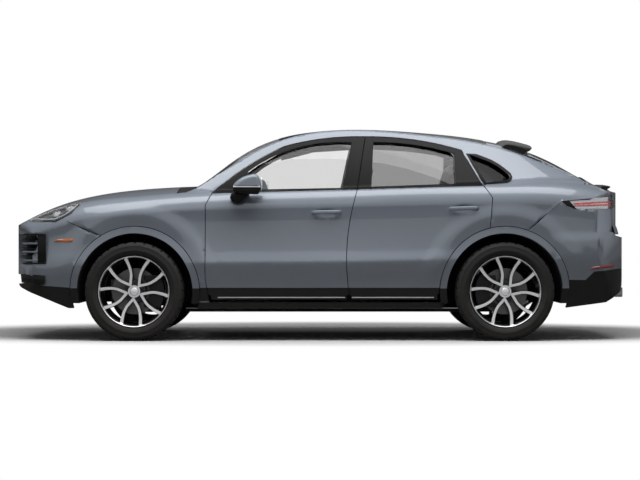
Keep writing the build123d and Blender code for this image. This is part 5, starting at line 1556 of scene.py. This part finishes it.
def padForm(outline, half, shift, bolster):
    # across the seat: full in the middle, rounded in at the ends, with raised side bolsters
    rows = 28
    points = np.array(outline, float)
    middle = points.mean(0)

    def put(i, j):
        u = 2 * i / rows - 1
        shrink = 1 - 0.16 * abs(u) ** 10
        x, z = middle + (points[j % len(points)] - middle) * shrink
        swell = bolster * easeIn((abs(u) - 0.52) / 0.2) * (1 - easeIn((abs(u) - 0.86) / 0.14))
        isFace = j % len(points) >= 6
        lift = swell if isFace else 0
        tall = points[:, 1].max() - points[:, 1].min() > 300
        return x + shift - (lift if tall else 0), u * half, z + (0 if tall else lift)

    bm = bmesh.new()
    gridForm(bm, rows, len(outline), put)
    closeForm(bm)
    return bm


def stuffed(name, bm, channels):
    # voxel remesh, cloth with pressure and no gravity, movement capped, then the sewn lines
    look = seatLook
    rough = makePiece(name + "Rough", bm)
    remesh = rough.modifiers.new("voxels", "REMESH")
    remesh.mode = "VOXEL"
    remesh.voxel_size = look["voxel"] * mm
    mesh = bpy.data.meshes.new_from_object(rough.evaluated_get(bpy.context.evaluated_depsgraph_get()))
    bpy.data.objects.remove(rough)
    mesh.name = name
    count = len(mesh.vertices)
    start = np.zeros(count * 3, np.float32)
    mesh.vertices.foreach_get("co", start)
    after = start.copy()
    pad = bpy.data.objects.new(name + "Sim", mesh)
    scene.collection.objects.link(pad)
    cloth = pad.modifiers.new("stuffing", "CLOTH")
    cloth.settings.use_pressure = True
    cloth.settings.uniform_pressure_force = look["pressure"]
    cloth.settings.effector_weights.gravity = 0
    cloth.settings.quality = 4
    cloth.collision_settings.use_collision = False
    for step in range(1, look["frames"] + 1):
        scene.frame_set(step)
    swollen = pad.evaluated_get(bpy.context.evaluated_depsgraph_get())
    swollen.data.vertices.foreach_get("co", after)
    scene.frame_set(1)
    bpy.data.objects.remove(pad)
    co, moved = start.reshape(-1, 3).astype(float), (after - start).reshape(-1, 3).astype(float)
    far = np.linalg.norm(moved, axis=1, keepdims=True)
    co = co + moved * np.minimum(1, look["swellCap"] * mm / np.maximum(far, 1e-9))
    mesh.vertices.foreach_set("co", co.astype(np.float32).ravel())
    mesh.update()
    normals = np.zeros(count * 3, np.float32)
    mesh.vertex_normals.foreach_get("vector", normals)
    normals = normals.reshape(-1, 3)
    sink = np.zeros(count)
    for axis, at in channels:
        sink = np.maximum(sink, np.exp(-((co[:, axis] / mm - at) / look["channelWidth"]) ** 2))
    facing = np.clip(normals[:, 2] - normals[:, 0], 0, 1)
    co = co - normals * (sink * facing * look["channelDepth"] * mm)[:, None]
    mesh.vertices.foreach_set("co", co.astype(np.float32).ravel())
    mesh.materials.clear()
    mesh.materials.append(leather)
    mesh.shade_smooth()
    return mesh


def seatPad(name, mesh, moveY):
    copied = mesh.copy()
    copied.name = name
    copied.transform(Matrix.Translation((0, moveY * mm, 0)))
    piece = bpy.data.objects.new(name, copied)
    scene.collection.objects.link(piece)
    smoother = piece.modifiers.new("softer", "SUBSURF")
    smoother.levels = smoother.render_levels = 1
    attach(piece, "body")


def makeSeats():
    look = seatLook
    front, rear, middle = look["frontShift"], look["rearShift"], look["frontMiddle"]
    edges = [(1, y) for y in look["edgeLines"]]
    pads = {
        "cushion": stuffed("padCushion", padForm(look["cushion"], look["cushionHalf"], front, look["bolster"]),
                           [(0, front + x) for x in look["cushionLines"]] + edges),
        "back": stuffed("padBack", padForm(look["back"], look["backHalf"], front, look["bolster"]),
                        [(2, z) for z in look["backLines"]] + edges),
        "headrest": stuffed("padHeadrest", padForm(look["headrest"], look["headrestHalf"], front, 0), []),
    }
    for hand, side in hands:
        for part, mesh in pads.items():
            seatPad(f"frontSeat{part.capitalize()}_{hand}", mesh, side * middle)
    edges = [(1, y) for y in look["benchEdgeLines"]]
    bench = padForm(look["cushion"], look["benchHalf"], rear, look["benchBolster"])
    lines = [(0, rear + x) for x in look["benchLines"]] + edges
    seatPad("rearSeatCushion", stuffed("padBench", bench, lines), 0)
    bench = padForm(look["back"], look["benchBackHalf"], rear, look["benchBolster"])
    lines = [(2, z) for z in look["benchBackLines"]] + edges
    seatPad("rearSeatBack", stuffed("padBenchBack", bench, lines), 0)
    headrest = pads["headrest"].copy()
    headrest.transform(Matrix.Translation(((rear - front) * mm, 0, 0)))
    for place, moveY in look["rearMiddles"]:
        seatPad(f"rearHeadrest_{place}", headrest, moveY)
    bm = bmesh.new()
    shift, level, length, tall = look["base"]
    for moveX, moveY, half in ((front, -middle, look["baseHalf"]), (front, middle, look["baseHalf"]),
                               (rear, 0, look["benchBaseHalf"])):
        size = Matrix.Diagonal((length * mm, 2 * half * mm, tall * mm, 1))
        at = Matrix.Translation(Vector((moveX + shift, moveY, level)) * mm)
        bmesh.ops.create_cube(bm, size=1, matrix=at @ size)
    bmesh.ops.bevel(bm, geom=bm.edges[:], offset=look["baseRounding"] * mm, segments=3, profile=0.5,
                    affect="EDGES", material=-1)
    shift, level, posts, tilt = look["posts"]
    radius, length = look["postSize"]
    lean = Matrix.Rotation(math.radians(tilt), 4, "Y")
    for moveX, moveY in [(front, -middle), (front, middle)] + [(rear, y) for _, y in look["rearMiddles"]]:
        for post in posts:
            at = Matrix.Translation(Vector((moveX + shift, moveY + post, level)) * mm) @ lean
            bmesh.ops.create_cone(bm, cap_ends=True, segments=14, radius1=radius * mm, radius2=radius * mm,
                                  depth=length * mm, matrix=at)
    makePiece("seatBases", bm, (trimBlack,), "body", 35, ("seats",))


makeSeats()
print("seats ready")


# plugs that close the sill ends behind the front wheels

plugLook = {
    "at": (-955.0, 826.0, 300.0),
    "size": (70.0, 90.0, 50.0),
    "rounding": 4.0,
}

bm = bmesh.new()
for hand, side in hands:
    at = Matrix.Translation(Vector(plugLook["at"]) * mm * Vector((1, side, 1)))
    bmesh.ops.create_cube(bm, size=1, matrix=at @ Matrix.Diagonal((*(Vector(plugLook["size"]) * mm), 1)))
bmesh.ops.bevel(bm, geom=bm.edges[:], offset=plugLook["rounding"] * mm, segments=2, profile=0.5,
                affect="EDGES", material=-1)
makePiece("sillEndPlugs", bm, (rubber,), "body", 35)


# cabin: console, screens, instrument hood, steering wheel

cabinLook = {
    "wheelAt": (-470.0, -375.0, 985.0),
    "wheelFacing": (0.9, 0.0, 0.42),
    "wheelRadius": 172.0,
    "gripRadius": 15.0,
    # outlines in the side view; each size is a half width and a rounding
    "console": ((-600, 430), (40, 430), (60, 640), (-40, 668), (-330, 660), (-560, 740), (-600, 740)),
    "screen": ((-606, 905), (-590, 905), (-606, 1060), (-622, 1060)),
    "instruments": ((-612, 985), (-596, 985), (-610, 1090), (-626, 1090)),
    "instrumentHood": ((-760, 1090), (-585, 1098), (-590, 1116), (-680, 1134), (-760, 1128)),
    "consoleSize": (110.0, 14.0),
    "screenSize": (150.0, 5.0),
    "instrumentsSize": (140.0, 5.0),
    "instrumentHoodSize": (168.0, 12.0),
    "driverMiddle": -375.0,
    "boss": ((0.0, 20), (46, 18), (60, 8), (62, -6), (50, -20), (0.0, -22)),
    "spokeAngles": (0, 180, 270),
    "spokeMiddle": 108.0,
    "spokeSize": (115.0, 14.0, 38.0),
    "columnBehind": 90.0,
    "columnSize": (36.0, 34.0, 160.0),         # two radii and length
}


def acrossSlab(bm, name, middle=0.0):
    # an outline stretched across the cabin, with all its edges rounded
    half, rounding = cabinLook[f"{name}Size"]
    start = len(bm.verts)
    slab(bm, cabinLook[name], -half, half, 1)
    bm.verts.ensure_lookup_table()
    new = bm.verts[start:]
    edges = {e for v in new for e in v.link_edges}
    bmesh.ops.bevel(bm, geom=list(edges), offset=rounding * mm, segments=3, profile=0.5, affect="EDGES",
                    material=-1, clamp_overlap=True)
    bm.verts.ensure_lookup_table()
    bmesh.ops.translate(bm, verts=bm.verts[start:], vec=(0, middle * mm, 0))


bm = bmesh.new()
acrossSlab(bm, "console")
makePiece("centreConsole", bm, (trimBlack,), "body", 40)
bm = bmesh.new()
acrossSlab(bm, "screen")
acrossSlab(bm, "instruments", cabinLook["driverMiddle"])
makePiece("dashScreens", bm, (glossBlack,), "body", 40)
bm = bmesh.new()
acrossSlab(bm, "instrumentHood", cabinLook["driverMiddle"])
makePiece("instrumentHood", bm, (trimBlack,), "body", 40)

bm = bmesh.new()
radius, grip = cabinLook["wheelRadius"], cabinLook["gripRadius"]
round14 = np.linspace(0, 2 * math.pi, 15)[:-1]
ringFromProfile(bm, [(radius + grip * math.cos(a), grip * math.sin(a)) for a in round14], 64)
ringFromProfile(bm, cabinLook["boss"], 40, closed=False)
spoke = Matrix.Translation((cabinLook["spokeMiddle"] * mm, 0, 0))
spoke = spoke @ Matrix.Diagonal((*(Vector(cabinLook["spokeSize"]) * mm), 1))
for angle in cabinLook["spokeAngles"]:
    turn = Matrix.Rotation(math.radians(-angle), 4, "Y")
    bmesh.ops.create_cube(bm, size=1, matrix=turn @ spoke)
facing = Vector(cabinLook["wheelFacing"]).normalized()
aim = Vector((0, 1, 0)).rotation_difference(facing).to_matrix().to_4x4()
bmesh.ops.transform(bm, matrix=Matrix.Translation(Vector(cabinLook["wheelAt"]) * mm) @ aim, verts=bm.verts)
column = Vector(cabinLook["wheelAt"]) - facing * cabinLook["columnBehind"]
turn = Vector((0, 0, 1)).rotation_difference(facing).to_matrix().to_4x4()
foot, top, length = cabinLook["columnSize"]
bmesh.ops.create_cone(bm, cap_ends=True, segments=24, radius1=foot * mm, radius2=top * mm, depth=length * mm,
                      matrix=Matrix.Translation(column * mm) @ turn)
bmesh.ops.recalc_face_normals(bm, faces=bm.faces)
makePiece("steeringWheelRim", bm, (trimBlack,), "body", 40, ("steering_wheel",))
print("cabin ready")
